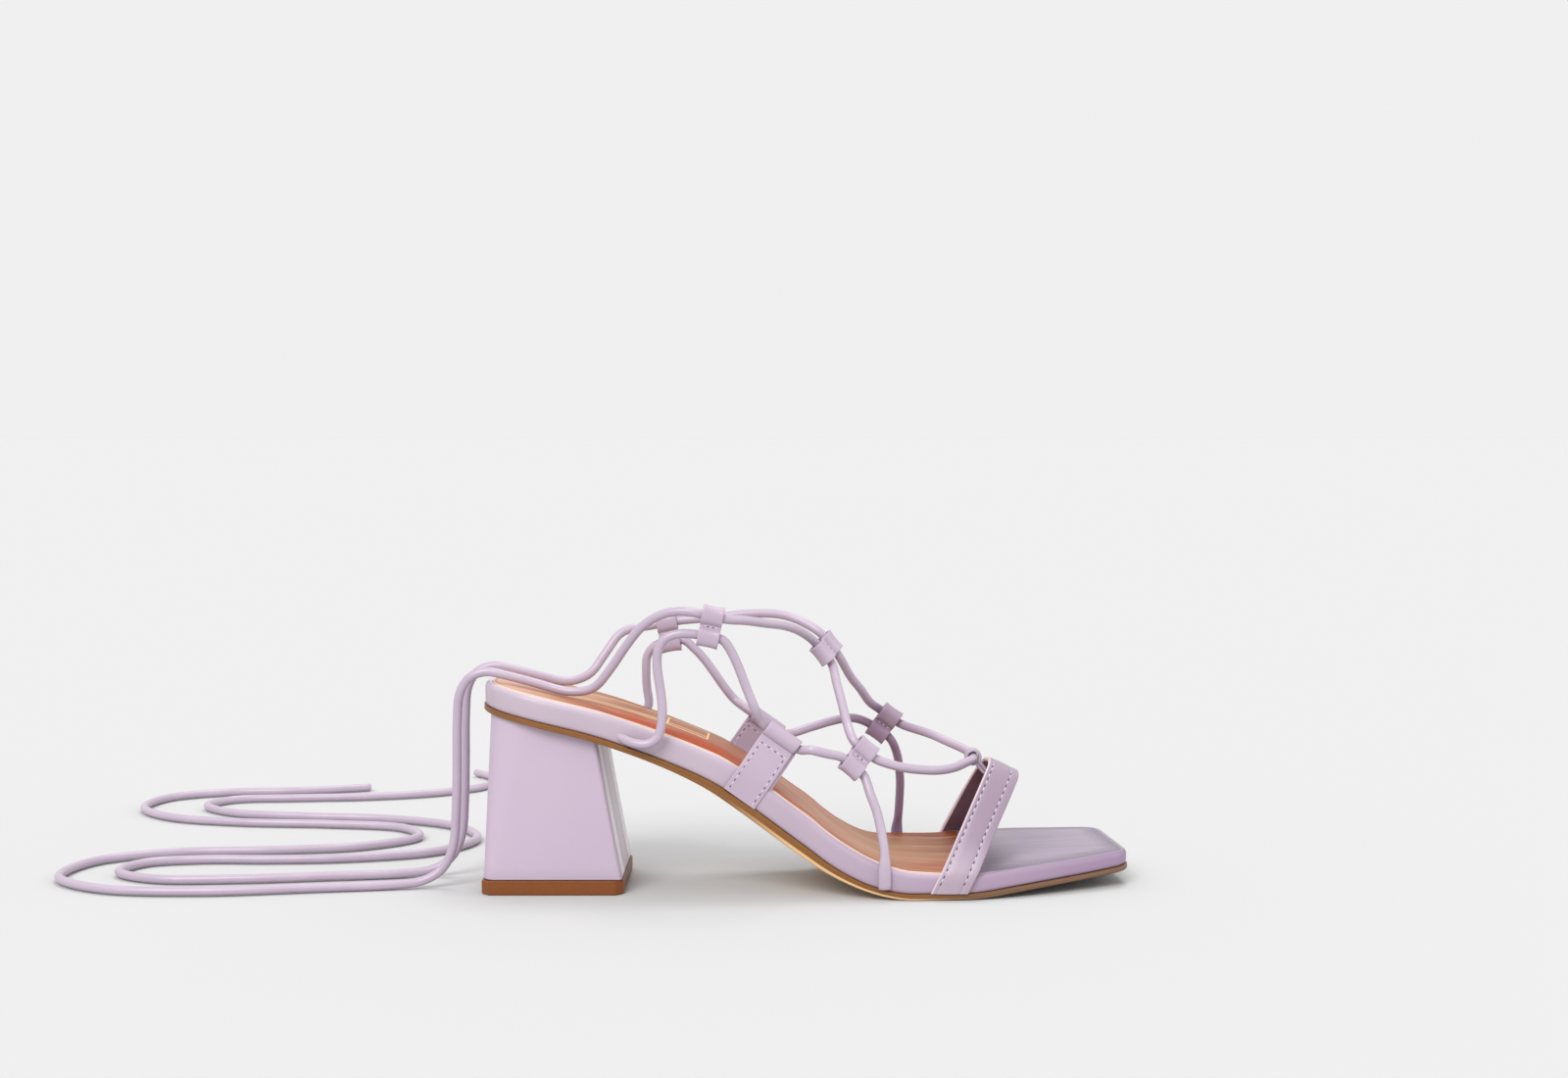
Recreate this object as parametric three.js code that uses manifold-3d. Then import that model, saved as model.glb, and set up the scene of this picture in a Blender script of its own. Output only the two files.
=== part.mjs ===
// A right-foot, open-toed sandal on a block heel, with a cord net that laces up the instep.
// The shoe's own frame: X runs from the back of the heel to the toe, Y from the middle of the
// heel towards the inner (medial) side of the foot, Z up from the floor. All sizes in millimetres.
import * as THREE from "three";
import { mergeVertices } from "three/addons/utils/BufferGeometryUtils.js";
import Module from "manifold-3d";

const wasm = await Module();
wasm.setup();

// Sole: plan and side profile
const SOLE_LENGTH = 232;
const BALL_WIDTH = 80;
const SEAT_WIDTH = 52;
const SEAT_ROUND = 27;
const SEAT_FULLNESS = 2.3;
const TOE_CORNER = 6;
const FOREFOOT_TURN = 5.8;
const HEEL_HEIGHT = 64.4;
const TOE_SPRING = 5.9;
const OUTSOLE_THICKNESS = 2.1;
const MIDSOLE_THICKNESS = 8.4;
const MIDSOLE_INSET = 0.4;
const RIM_ROLL = 2.6;
const INSOLE_THICKNESS = 1.2;
const INSOLE_INSET = 3.1;
const INSOLE_PROUD = 0.4;
const INSOLE_CROWN = 1.8;
const INSOLE_END = 0.755;

// Heel block and its tip
const HEEL_TOP_LENGTH = 39;
const HEEL_TOP_WIDTH = 44;
const HEEL_TOP_SETBACK = 3.2;
const HEEL_TOP_CORNER = 15;
const HEEL_BASE_LENGTH = 49.5;
const HEEL_BASE_WIDTH = 46.4;
const HEEL_BASE_SETBACK = 1.7;
const HEEL_BASE_CORNER = 4.5;
const BREAST_CORNER = 1.6;
const TIP_HEIGHT = 5.2;
const TIP_PROUD = 0.5;
const TIP_CHAMFER = 2.6;
const TIP_EDGE = 0.6;

// Toe strap
const STRAP_WIDTH = 11.9;
const STRAP_WALL = 1.7;
const STRAP_RISE = 43.7;
const STRAP_LEAN = 25.5;
const STRAP_SKEW = 4.2;
const STRAP_PROUD = 0.7;
const STRAP_SETBACK = 160.2;

// Midfoot tabs and the loop at the toe
const TAB_WIDTH = 13.2;
const TAB_WALL = 2.2;
const TAB_PROUD = 0.7;
const TAB_LOOP = 6.2;
const TOE_LOOP_WIDTH = 4.4;
const TOE_LOOP_WALL = 1.4;
const TOE_LOOP_EYE = 4.8;
const TOE_LOOP_TAIL = 9;

// Cords and the keepers that hold them in pairs
const CORD_DIAMETER = 3.3;
const KEEPER_LENGTH = 7.6;
const KEEPER_SPREAD = 7.4;
const KEEPER_LOBE = 7.2;
const KEEPER_DEPTH = 5.7;
const KEEPER_WALL = 0.9;
const KEEPER_WAIST = 2.4;

// Clearances
const GAP = 0.3;
const CORD_GAP = 0.45;

// Plan of the sole, a row for each share of its length: how far its middle swings towards the inner
// side and how far its cross line turns with the forefoot, and the width there.
const PLAN = [
  { along: 0.0, swing: 0.0, turn: 0, width: SEAT_WIDTH },
  { along: 0.12, swing: 0.0, turn: 0, width: SEAT_WIDTH },
  { along: 0.21, swing: -0.008, turn: 0, width: SEAT_WIDTH * 0.985 },
  { along: 0.35, swing: -0.019, turn: 0, width: SEAT_WIDTH * 0.904 },
  { along: 0.5, swing: -0.026, turn: 0, width: BALL_WIDTH * 0.63 },
  { along: 0.58, swing: 0.01, turn: 0.55, width: BALL_WIDTH * 0.78 },
  { along: 0.665, swing: 0.0925, turn: 1, width: BALL_WIDTH * 0.985 },
  { along: 0.73, swing: 0.11, turn: 1, width: BALL_WIDTH },
  { along: 0.795, swing: 0.13, turn: 1, width: BALL_WIDTH * 0.96 },
  { along: 0.86, swing: 0.15, turn: 1, width: BALL_WIDTH * 0.87 },
  { along: 0.925, swing: 0.17, turn: 1, width: BALL_WIDTH * 0.745 },
  { along: 1.0, swing: 0.19, turn: 1, width: BALL_WIDTH * 0.577 },
];

// Side profile of the sole: the underside's rise in shares of the heel height and of the toe spring,
// the thickness of outsole and midsole in shares of theirs, and the crown of the insole.
const TREAD_START = 0.6437;
const TREAD_END = 0.7304;
const PROFILE = [
  { along: 0.0, rise: 1.0, spring: 0, outsole: 0.95, midsole: 0.98, crown: 0 },
  { along: 0.05, rise: 0.967, spring: 0, outsole: 0.95, midsole: 0.99, crown: 0 },
  { along: 0.112, rise: 0.916, spring: 0, outsole: 0.95, midsole: 0.99, crown: 0 },
  { along: 0.172, rise: 0.862, spring: 0, outsole: 0.97, midsole: 0.99, crown: 0.2 },
  { along: 0.232, rise: 0.79, spring: 0, outsole: 1.0, midsole: 0.99, crown: 0.5 },
  { along: 0.293, rise: 0.7, spring: 0, outsole: 1.12, midsole: 0.99, crown: 0.8 },
  { along: 0.351, rise: 0.593, spring: 0, outsole: 1.4, midsole: 1.0, crown: 0.9 },
  { along: 0.396, rise: 0.484, spring: 0, outsole: 1.65, midsole: 1.02, crown: 0.8 },
  { along: 0.441, rise: 0.3665, spring: 0, outsole: 1.8, midsole: 1.05, crown: 0.6 },
  { along: 0.4705, rise: 0.289, spring: 0, outsole: 1.8, midsole: 1.06, crown: 0.4 },
  { along: 0.5004, rise: 0.2143, spring: 0, outsole: 1.75, midsole: 1.08, crown: 0.25 },
  { along: 0.53, rise: 0.143, spring: 0, outsole: 1.5, midsole: 1.08, crown: 0.15 },
  { along: 0.56, rise: 0.084, spring: 0, outsole: 1.25, midsole: 1.08, crown: 0.1 },
  { along: 0.5896, rise: 0.04, spring: 0, outsole: 1.08, midsole: 1.04, crown: 0.05 },
  { along: 0.6195, rise: 0.011, spring: 0, outsole: 1.05, midsole: 0.96, crown: 0 },
  { along: TREAD_START, rise: 0, spring: 0, outsole: 1.05, midsole: 0.88, crown: 0 },
  { along: 0.69, rise: 0, spring: 0, outsole: 1.05, midsole: 0.79, crown: 0 },
  { along: TREAD_END, rise: 0, spring: 0, outsole: 1.05, midsole: 0.77, crown: 0 },
  { along: 0.7684, rise: 0, spring: 0.1, outsole: 1.05, midsole: 0.78, crown: 0.1 },
  { along: 0.8, rise: 0, spring: 0.27, outsole: 1.0, midsole: 0.76, crown: 0.2 },
  { along: 0.861, rise: 0, spring: 0.52, outsole: 0.95, midsole: 0.72, crown: 0.3 },
  { along: 0.925, rise: 0, spring: 0.73, outsole: 0.9, midsole: 0.69, crown: 0.3 },
  { along: 1.0, rise: 0, spring: 1.0, outsole: 0.85, midsole: 0.66, crown: 0.2 },
];

// Side wall of the midsole, from its underside to the rolled rim: inset and share of its height
const ROLLED_WALL = [
  { inset: 0.55, height: 0 },
  { inset: 0.1, height: 0.14 },
  { inset: 0, height: 0.48 },
  { inset: 0.4, height: 0.8 },
  { inset: RIM_ROLL * 0.5, height: 0.95 },
  { inset: RIM_ROLL, height: 1 },
];

// The toe strap's arch across the foot: shares of the sole's width there and of the strap's rise
const ARCH = [
  { across: -0.5, up: 0 },
  { across: -0.502, up: 0.14 },
  { across: -0.475, up: 0.265 },
  { across: -0.437, up: 0.414 },
  { across: -0.399, up: 0.574 },
  { across: -0.364, up: 0.723 },
  { across: -0.331, up: 0.849 },
  { across: -0.3, up: 0.94 },
  { across: -0.268, up: 0.985 },
  { across: -0.22, up: 1.0 },
  { across: -0.13, up: 1.0 },
  { across: -0.02, up: 0.97 },
  { across: 0.09, up: 0.93 },
  { across: 0.18, up: 0.865 },
  { across: 0.265, up: 0.755 },
  { across: 0.338, up: 0.605 },
  { across: 0.405, up: 0.426 },
  { across: 0.462, up: 0.254 },
  { across: 0.502, up: 0.128 },
  { across: 0.5, up: 0 },
];

// Keepers: the middle of each, the way its cords run and the way from its lower cord to its upper
const KEEPERS = {
  ring_front: { at: [124.2, 8, 84.8], axis: [0.62, 0.05, -0.78], across: [3, 6.7, 1.9] },
  ring_lateral: { at: [135.2, -20, 48.6], axis: [0.766, 0.05, -0.643], across: [4.8, 3, 6.7] },
  ring_medial: { at: [146.8, 33.2, 53.4], axis: [0.82, -0.05, -0.57], across: [5.1, -2.5, 4.9] },
  ankle_ring_lateral: { at: [82.9, -25.5, 95.9], axis: [0.975, 0, -0.2], across: [1.4, 0, 7.2] },
  ankle_ring_medial: { at: [65.3, 25, 88.9], axis: [0.985, 0, 0.17], across: [-0.17, 0, 0.985] },
};

// Reads a column of a table at a share of the length, on a curve that never overshoots its rows
function read(table, column, along) {
  const share = THREE.MathUtils.clamp(along, table[0].along, table[table.length - 1].along);
  const next = Math.max(1, table.findIndex((row) => row.along >= share));
  const secant = (i) => {
    const bounded = THREE.MathUtils.clamp(i, 0, table.length - 2);
    const [a, b] = [table[bounded], table[bounded + 1]];
    return (b[column] - a[column]) / (b.along - a.along);
  };
  const tangent = (i) => {
    const [before, after] = [secant(i - 1), secant(i)];
    return before * after > 0 ? (2 * before * after) / (before + after) : 0;
  };
  const [left, right] = [table[next - 1], table[next]];
  const span = right.along - left.along;
  const t = (share - left.along) / span;
  const lift = t * t * (3 - 2 * t);
  const start = t * (1 - t) * (1 - t) * span * tangent(next - 1);
  const end = t * t * (t - 1) * span * tangent(next);
  return left[column] + lift * (right[column] - left[column]) + start + end;
}

// One cross line of the sole: where its middle is, how far it turns and half its width
function crossLine(along) {
  const fromBack = along * SOLE_LENGTH;
  const fromFront = (1 - along) * SOLE_LENGTH;
  let half = read(PLAN, "width", along) / 2;
  if (fromBack < SEAT_ROUND) {
    const reach = 1 - fromBack / SEAT_ROUND;
    half *= (1 - reach ** SEAT_FULLNESS) ** (1 / SEAT_FULLNESS);
  }
  if (fromFront < TOE_CORNER) {
    half -= TOE_CORNER - Math.sqrt(TOE_CORNER ** 2 - (TOE_CORNER - fromFront) ** 2);
  }
  const turn = THREE.MathUtils.degToRad(FOREFOOT_TURN) * read(PLAN, "turn", along);
  return { x: fromBack, y: BALL_WIDTH * read(PLAN, "swing", along), turn, half };
}

// The point of the plan that lies some way across from the middle, and the cross line under a point
function planPoint(along, across) {
  const line = crossLine(along);
  return [line.x - across * Math.sin(line.turn), line.y + across * Math.cos(line.turn)];
}

function alongAt(x, y) {
  let along = x / SOLE_LENGTH;
  for (let pass = 0; pass < 6; pass += 1) {
    const line = crossLine(along);
    along = (x + (y - line.y) * Math.tan(line.turn)) / SOLE_LENGTH;
  }
  return along;
}

// Heights of the sole's layers over a point of the plan
function undersideAt(along) {
  return HEEL_HEIGHT * read(PROFILE, "rise", along) + TOE_SPRING * read(PROFILE, "spring", along);
}

function slopeAt(along) {
  const step = 0.01;
  const fall = undersideAt(along - step) - undersideAt(along + step);
  return Math.atan2(fall, 2 * step * SOLE_LENGTH);
}

function outsoleTopAt(along) {
  const thickness = OUTSOLE_THICKNESS * read(PROFILE, "outsole", along);
  return undersideAt(along) + thickness / Math.cos(slopeAt(along));
}

function midsoleTopAt(along) {
  const thickness = MIDSOLE_THICKNESS * read(PROFILE, "midsole", along);
  return outsoleTopAt(along) + thickness / Math.cos(slopeAt(along));
}

function crownAt(x, y) {
  const along = alongAt(x, y);
  const line = crossLine(along);
  const across = THREE.MathUtils.clamp((y - line.y) / Math.max(line.half, 1), -1, 1);
  return INSOLE_CROWN * read(PROFILE, "crown", along) * (1 - across * across);
}

// Lengthwise places of the sole's rows: close together round the seat and the toe corners
function soleRows(until) {
  const rows = [];
  const spread = (from, to, count) => {
    for (let i = 1; i <= count; i += 1) {
      rows.push(from + ((to - from) * i) / count);
    }
  };
  const seat = SEAT_ROUND / SOLE_LENGTH;
  const corner = TOE_CORNER / SOLE_LENGTH;
  const seatSteps = 7;
  const cornerSteps = 3;
  for (let i = 1; i <= seatSteps; i += 1) {
    rows.push(seat * (1 - Math.cos((Math.PI / 2) * (i / seatSteps))));
  }
  spread(seat, TREAD_START, 13);
  spread(TREAD_START, TREAD_END, 2);
  spread(TREAD_END, 1 - corner, 7);
  for (let i = 1; i <= cornerSteps; i += 1) {
    rows.push(1 - corner * (1 - Math.sin((Math.PI / 2) * (i / cornerSteps))));
  }
  return until < 1 ? [...rows.filter((row) => row < until - 0.01), until] : rows;
}

// A closed geometry from corner points and triangles
function geometryOf(points, triangles) {
  const geometry = new THREE.BufferGeometry();
  geometry.setAttribute("position", new THREE.Float32BufferAttribute(points.flat(), 3));
  geometry.setIndex(triangles.flat());
  return geometry;
}

// One layer of the sole: its outline is drawn in by each level's inset and lifted to its height,
// and the first and last levels are closed by lids of straight or crowned rows.
function soleLayer(levels, columns, until = 1, crown = () => 0) {
  const rows = soleRows(until);
  const last = rows.length - 1;
  const share = (column) => -1 + (2 * column) / columns;
  const flat = (row, column) => {
    const line = crossLine(rows[row]);
    const across = line.half * share(column);
    if (row > 0) {
      return planPoint(rows[row], across);
    }
    const reach = (1 - Math.abs(across / (SEAT_WIDTH / 2)) ** SEAT_FULLNESS) ** (1 / SEAT_FULLNESS);
    return [SEAT_ROUND * (1 - reach), line.y + across];
  };
  const loop = [];
  for (let row = 0; row <= last; row += 1) {
    loop.push([row, 0]);
  }
  for (let column = 1; column < columns; column += 1) {
    loop.push([last, column]);
  }
  for (let row = last; row >= 0; row -= 1) {
    loop.push([row, columns]);
  }
  for (let column = columns - 1; column > 0; column -= 1) {
    loop.push([0, column]);
  }
  const outline = loop.map(([row, column]) => new THREE.Vector2(...flat(row, column)));
  const inward = outline.map((point, i) => {
    const before = outline[(i + outline.length - 1) % outline.length];
    const after = outline[(i + 1) % outline.length];
    const enter = point.clone().sub(before).normalize();
    const leave = after.clone().sub(point).normalize();
    const normal = new THREE.Vector2(-enter.y - leave.y, enter.x + leave.x).normalize();
    return normal.divideScalar(Math.max(0.5, normal.dot(new THREE.Vector2(-enter.y, enter.x))));
  });
  const points = [];
  const triangles = [];
  const rings = levels.map((level) => {
    const first = points.length;
    outline.forEach((point, i) => {
      const at = point.clone().addScaledVector(inward[i], level.inset);
      points.push([at.x, at.y, level.z(at.x, at.y)]);
    });
    return first;
  });
  for (let level = 1; level < rings.length; level += 1) {
    const [low, high] = [rings[level - 1], rings[level]];
    outline.forEach((point, i) => {
      const j = (i + 1) % outline.length;
      triangles.push([low + i, low + j, high + j], [low + i, high + j, high + i]);
    });
  }
  const lid = (ring, level, rising, lift) => {
    const place = new Map(loop.map(([row, column], i) => [`${row}/${column}`, ring + i]));
    for (let row = 1; row < last; row += 1) {
      const [from, to] = [points[place.get(`${row}/0`)], points[place.get(`${row}/${columns}`)]];
      for (let column = 1; column < columns; column += 1) {
        const t = column / columns;
        const [x, y] = [from[0] + (to[0] - from[0]) * t, from[1] + (to[1] - from[1]) * t];
        place.set(`${row}/${column}`, points.length);
        points.push([x, y, level.z(x, y) + lift(x, y)]);
      }
    }
    for (let row = 0; row < last; row += 1) {
      for (let column = 0; column < columns; column += 1) {
        const a = place.get(`${row}/${column}`);
        const b = place.get(`${row + 1}/${column}`);
        const c = place.get(`${row + 1}/${column + 1}`);
        const d = place.get(`${row}/${column + 1}`);
        triangles.push(...(rising ? [[a, b, c], [a, c, d]] : [[a, c, b], [a, d, c]]));
      }
    }
  };
  lid(rings[0], levels[0], false, levels[0].crowned ? crown : () => 0);
  lid(rings[rings.length - 1], levels[levels.length - 1], true, crown);
  return geometryOf(points, triangles);
}

function over(height) {
  return (x, y) => height(alongAt(x, y));
}

function outsole() {
  const edge = 0.5;
  return soleLayer([
    { inset: edge, z: over(undersideAt) },
    { inset: 0, z: (x, y) => over(undersideAt)(x, y) + edge },
    { inset: 0, z: over(outsoleTopAt) },
  ], 2);
}

function midsoleBody() {
  const levels = ROLLED_WALL.map((ring) => ({
    inset: MIDSOLE_INSET + ring.inset,
    z: (x, y) => {
      const along = alongAt(x, y);
      const bottom = outsoleTopAt(along) + GAP;
      return bottom + ring.height * (midsoleTopAt(along) - bottom);
    },
  }));
  return soleLayer(levels, 4, 1, crownAt);
}

// The insole lies in a shallow recess of the midsole; spare is what the recess has round it
function insoleSheet(spare) {
  const edge = 0.4;
  const inset = INSOLE_INSET - spare;
  const base = INSOLE_PROUD - INSOLE_THICKNESS - spare;
  const top = INSOLE_PROUD + spare * 4;
  return soleLayer([
    { inset, z: (x, y) => over(midsoleTopAt)(x, y) + base, crowned: true },
    { inset, z: (x, y) => over(midsoleTopAt)(x, y) + top - edge },
    { inset: inset + edge, z: (x, y) => over(midsoleTopAt)(x, y) + top },
  ], 4, INSOLE_END + spare / SOLE_LENGTH, crownAt);
}

// A loft through rings of equal count, closed by a fan at each end
function loft(rings) {
  const count = rings[0].length;
  const points = rings.flat();
  const triangles = [];
  for (let ring = 1; ring < rings.length; ring += 1) {
    for (let i = 0; i < count; i += 1) {
      const j = (i + 1) % count;
      const [low, high] = [(ring - 1) * count, ring * count];
      triangles.push([low + i, low + j, high + j], [low + i, high + j, high + i]);
    }
  }
  const middle = (ring) => [0, 1, 2].map((k) => ring.reduce((sum, p) => sum + p[k], 0) / count);
  const [bottom, top] = [points.length, points.length + 1];
  points.push(middle(rings[0]), middle(rings[rings.length - 1]));
  for (let i = 0; i < count; i += 1) {
    const j = (i + 1) % count;
    const high = (rings.length - 1) * count;
    triangles.push([bottom, j, i], [top, high + i, high + j]);
  }
  return geometryOf(points, triangles);
}

// A rectangle in plan with round corners, anticlockwise from above
function roundedPlan(back, front, half, backCorner, frontCorner, backSteps, frontSteps) {
  const ahead = { x: front - frontCorner, radius: frontCorner, steps: frontSteps };
  const behind = { x: back + backCorner, radius: backCorner, steps: backSteps };
  const corners = [
    { ...ahead, y: frontCorner - half, from: -90 },
    { ...ahead, y: half - frontCorner, from: 0 },
    { ...behind, y: half - backCorner, from: 90 },
    { ...behind, y: backCorner - half, from: 180 },
  ];
  return corners.flatMap((corner) => {
    const arc = [];
    for (let i = 0; i <= corner.steps; i += 1) {
      const angle = THREE.MathUtils.degToRad(corner.from + (90 * i) / corner.steps);
      arc.push([corner.x + corner.radius * Math.cos(angle), corner.y + corner.radius * Math.sin(angle)]);
    }
    return arc;
  });
}

function heelBlock() {
  const mix = THREE.MathUtils.lerp;
  const foot = TIP_HEIGHT + GAP;
  const levels = [0, 0.25, 0.5, 0.75, 1];
  return loft(levels.map((level) => {
    const back = mix(HEEL_BASE_SETBACK, HEEL_TOP_SETBACK, level);
    const length = mix(HEEL_BASE_LENGTH, HEEL_TOP_LENGTH, level);
    const half = mix(HEEL_BASE_WIDTH, HEEL_TOP_WIDTH, level) / 2;
    const corner = mix(HEEL_BASE_CORNER, HEEL_TOP_CORNER, level);
    const plan = roundedPlan(back, back + length, half, corner, BREAST_CORNER, 6, 2);
    return plan.map(([x, y]) => [x, y, mix(foot, over(undersideAt)(x, y) - GAP, level)]);
  }));
}

function heelTip() {
  const half = HEEL_BASE_WIDTH / 2 + TIP_PROUD;
  const back = HEEL_BASE_SETBACK - TIP_PROUD;
  const front = HEEL_BASE_SETBACK + HEEL_BASE_LENGTH + TIP_PROUD;
  const ring = (inset, z) => {
    const plan = roundedPlan(back + inset, front - inset, half - inset, TIP_CHAMFER, TIP_CHAMFER, 1, 1);
    return plan.map(([x, y]) => [x, y, z]);
  };
  return loft([ring(TIP_EDGE, 0), ring(0, TIP_EDGE), ring(0, TIP_HEIGHT)]);
}

// A flat band swept through pairs of edge points, its outer face through them; extra thickens it
function band(pairs, wall, extra) {
  const stations = pairs.map((pair) => pair.map((point) => new THREE.Vector3(...point)));
  const middles = stations.map(([back, front]) => back.clone().lerp(front, 0.5));
  const chamfer = wall * 0.25;
  const rings = stations.map(([back, front], i) => {
    const before = middles[Math.max(0, i - 1)];
    const after = middles[Math.min(middles.length - 1, i + 1)];
    const run = after.clone().sub(before).normalize();
    const wide = front.clone().sub(back).normalize();
    const out = wide.clone().cross(run).normalize();
    const corner = (end, side, aside, depth) => {
      const point = end.clone().addScaledVector(wide, side * (extra - aside));
      return point.addScaledVector(out, depth).toArray();
    };
    const [outer, inner] = [extra, -wall - extra];
    return [
      corner(back, -1, 0, outer - chamfer),
      corner(back, -1, chamfer, outer),
      corner(front, 1, chamfer, outer),
      corner(front, 1, 0, outer - chamfer),
      corner(front, 1, 0, inner + chamfer),
      corner(front, 1, chamfer, inner),
      corner(back, -1, chamfer, inner),
      corner(back, -1, 0, inner + chamfer),
    ];
  });
  return loft(rings);
}

// The sole's edges at a place lengthwise, and the along share whose edge is at that place
function edgeAt(x, side) {
  let along = x / SOLE_LENGTH;
  for (let pass = 0; pass < 6; pass += 1) {
    const line = crossLine(along);
    along = (x + side * line.half * Math.sin(line.turn)) / SOLE_LENGTH;
  }
  return { along, y: planPoint(along, side * crossLine(along).half)[1] };
}

function toeStrap(extra, sunk) {
  const lean = Math.tan(THREE.MathUtils.degToRad(STRAP_LEAN));
  const flare = STRAP_WIDTH / Math.cos(THREE.MathUtils.degToRad(STRAP_LEAN));
  const fall = STRAP_WIDTH * Math.sin(THREE.MathUtils.degToRad(STRAP_LEAN));
  const reach = STRAP_WIDTH * Math.cos(THREE.MathUtils.degToRad(STRAP_LEAN));
  const skew = Math.tan(THREE.MathUtils.degToRad(STRAP_SKEW));
  const middle = STRAP_SETBACK + flare / 2;
  const lateral = edgeAt(middle, -1).y - STRAP_PROUD;
  const medial = edgeAt(middle, 1).y + STRAP_PROUD;
  const foot = outsoleTopAt(edgeAt(middle, -1).along) + GAP;
  const rows = sunk > 0 ? [ARCH[0], ...ARCH, ARCH[ARCH.length - 1]] : ARCH;
  return band(rows.map((row, i) => {
    const y = (lateral + medial) / 2 + row.across * (medial - lateral);
    const rise = row.up * STRAP_RISE - (i === 0 || i === rows.length - 1 ? sunk : 0);
    const level = THREE.MathUtils.smoothstep(row.up, 0.15, 0.8);
    const ground = (x) => THREE.MathUtils.lerp(outsoleTopAt(alongAt(x, y)) + GAP, foot, level);
    const back = STRAP_SETBACK + lean * rise + skew * (y - lateral);
    const front = back + THREE.MathUtils.lerp(flare, reach, level);
    return [[back, y, ground(back) + rise], [front, y, ground(front) + rise - fall * level]];
  }), STRAP_WALL, extra);
}

// A straight prism of an outline, from its middle along the third axis of a turned frame
function prism(shape, width, origin, first, second, third) {
  const options = { depth: width, bevelEnabled: false, curveSegments: 7, steps: 1 };
  const geometry = new THREE.ExtrudeGeometry(shape, options);
  geometry.translate(0, 0, -width / 2);
  const frame = new THREE.Matrix4().makeBasis(first, second, third).setPosition(origin);
  return geometry.applyMatrix4(frame);
}

// A folded strip in side view: two stitched layers that part round a cord at the far end.
// The path gives the middle of the strip, from its foot to the middle of the eye.
function foldedStrip(path, wall, loop, hole) {
  const points = path.map(([u, v]) => new THREE.Vector2(u, v));
  const eye = points[points.length - 1];
  const sideways = points.map((point, i) => {
    const from = points[Math.max(0, i - 1)];
    const to = points[Math.min(points.length - 1, i + 1)];
    const run = to.clone().sub(from).normalize();
    return new THREE.Vector2(-run.y, run.x);
  });
  const shape = new THREE.Shape();
  const body = points.slice(0, -1);
  const along = eye.clone().sub(points[points.length - 2]).angle();
  const mouth = Math.asin(wall / loop);
  body.forEach((point, i) => {
    const at = point.clone().addScaledVector(sideways[i], -wall / 2);
    if (i === 0) {
      shape.moveTo(at.x, at.y);
    } else {
      shape.lineTo(at.x, at.y);
    }
  });
  shape.absarc(eye.x, eye.y, loop / 2, along + Math.PI + mouth, along + 3 * Math.PI - mouth, false);
  body.reverse().forEach((point, i) => {
    const at = point.clone().addScaledVector(sideways[body.length - 1 - i], wall / 2);
    shape.lineTo(at.x, at.y);
  });
  shape.closePath();
  if (hole > 0) {
    const eyelet = new THREE.Path();
    eyelet.absarc(eye.x, eye.y, hole / 2, 0, 2 * Math.PI, true);
    shape.holes.push(eyelet);
  }
  return shape;
}

// Midfoot tabs: the frame of each stands square to the sole's slope at its edge
const TABS = {
  tab_lateral: { side: -1, foot: 92.7, length: 26, lean: 4.6 },
  tab_medial: { side: 1, foot: 89, length: 22.4, lean: 0.8 },
};

function tabFrame(tab) {
  const edge = edgeAt(tab.foot, tab.side);
  const slope = slopeAt(edge.along);
  const up = new THREE.Vector3(Math.sin(slope), 0, Math.cos(slope));
  const out = new THREE.Vector3(0, tab.side, 0);
  const foot = new THREE.Vector3(tab.foot, edge.y, outsoleTopAt(edge.along));
  return { up, out, width: up.clone().cross(out), foot };
}

function tabPath(tab, foot) {
  const face = TAB_PROUD - TAB_WALL / 2;
  const wall = MIDSOLE_THICKNESS;
  return [[foot, face], [wall, face], [wall + 4, face - tab.lean * 0.15], [tab.length, face - tab.lean]];
}

function tabSolid(tab) {
  const { up, out, width, foot } = tabFrame(tab);
  const hole = CORD_DIAMETER + 2 * CORD_GAP;
  const shape = foldedStrip(tabPath(tab, 1.5 * GAP), TAB_WALL, TAB_LOOP, hole);
  return prism(shape, TAB_WIDTH, foot, up, out, width);
}

function tabPocket(tab) {
  const { up, out, width, foot } = tabFrame(tab);
  const path = tabPath(tab, -OUTSOLE_THICKNESS).slice(0, 3);
  const half = TAB_WALL / 2 + GAP;
  const inner = path.map(([u, v]) => new THREE.Vector2(u, v - half));
  const outer = path.map(([u, v]) => new THREE.Vector2(u, v + half + TAB_PROUD));
  const shape = new THREE.Shape([...inner, ...outer.reverse()]);
  return prism(shape, TAB_WIDTH + 2 * GAP, foot, up, out, width);
}

// The eye of a tab: where the cord passes, and the way that it runs towards the toe
function tabEye(tab, offset) {
  const { up, out, foot } = tabFrame(tab);
  const slope = slopeAt(edgeAt(tab.foot, tab.side).along);
  const path = tabPath(tab, 0);
  const [u, v] = path[path.length - 1];
  const eye = foot.clone().addScaledVector(up, u).addScaledVector(out, v);
  return [eye.x + offset * Math.cos(slope), eye.y, eye.z - offset * Math.sin(slope)];
}

// Keepers: two flat eyes side by side, pinched and stitched between them
function keeperFrame(keeper) {
  const axis = new THREE.Vector3(...keeper.axis).normalize();
  const across = new THREE.Vector3(...keeper.across);
  across.addScaledVector(axis, -across.dot(axis)).normalize();
  return { axis, across, through: axis.clone().cross(across), at: new THREE.Vector3(...keeper.at) };
}

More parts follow.
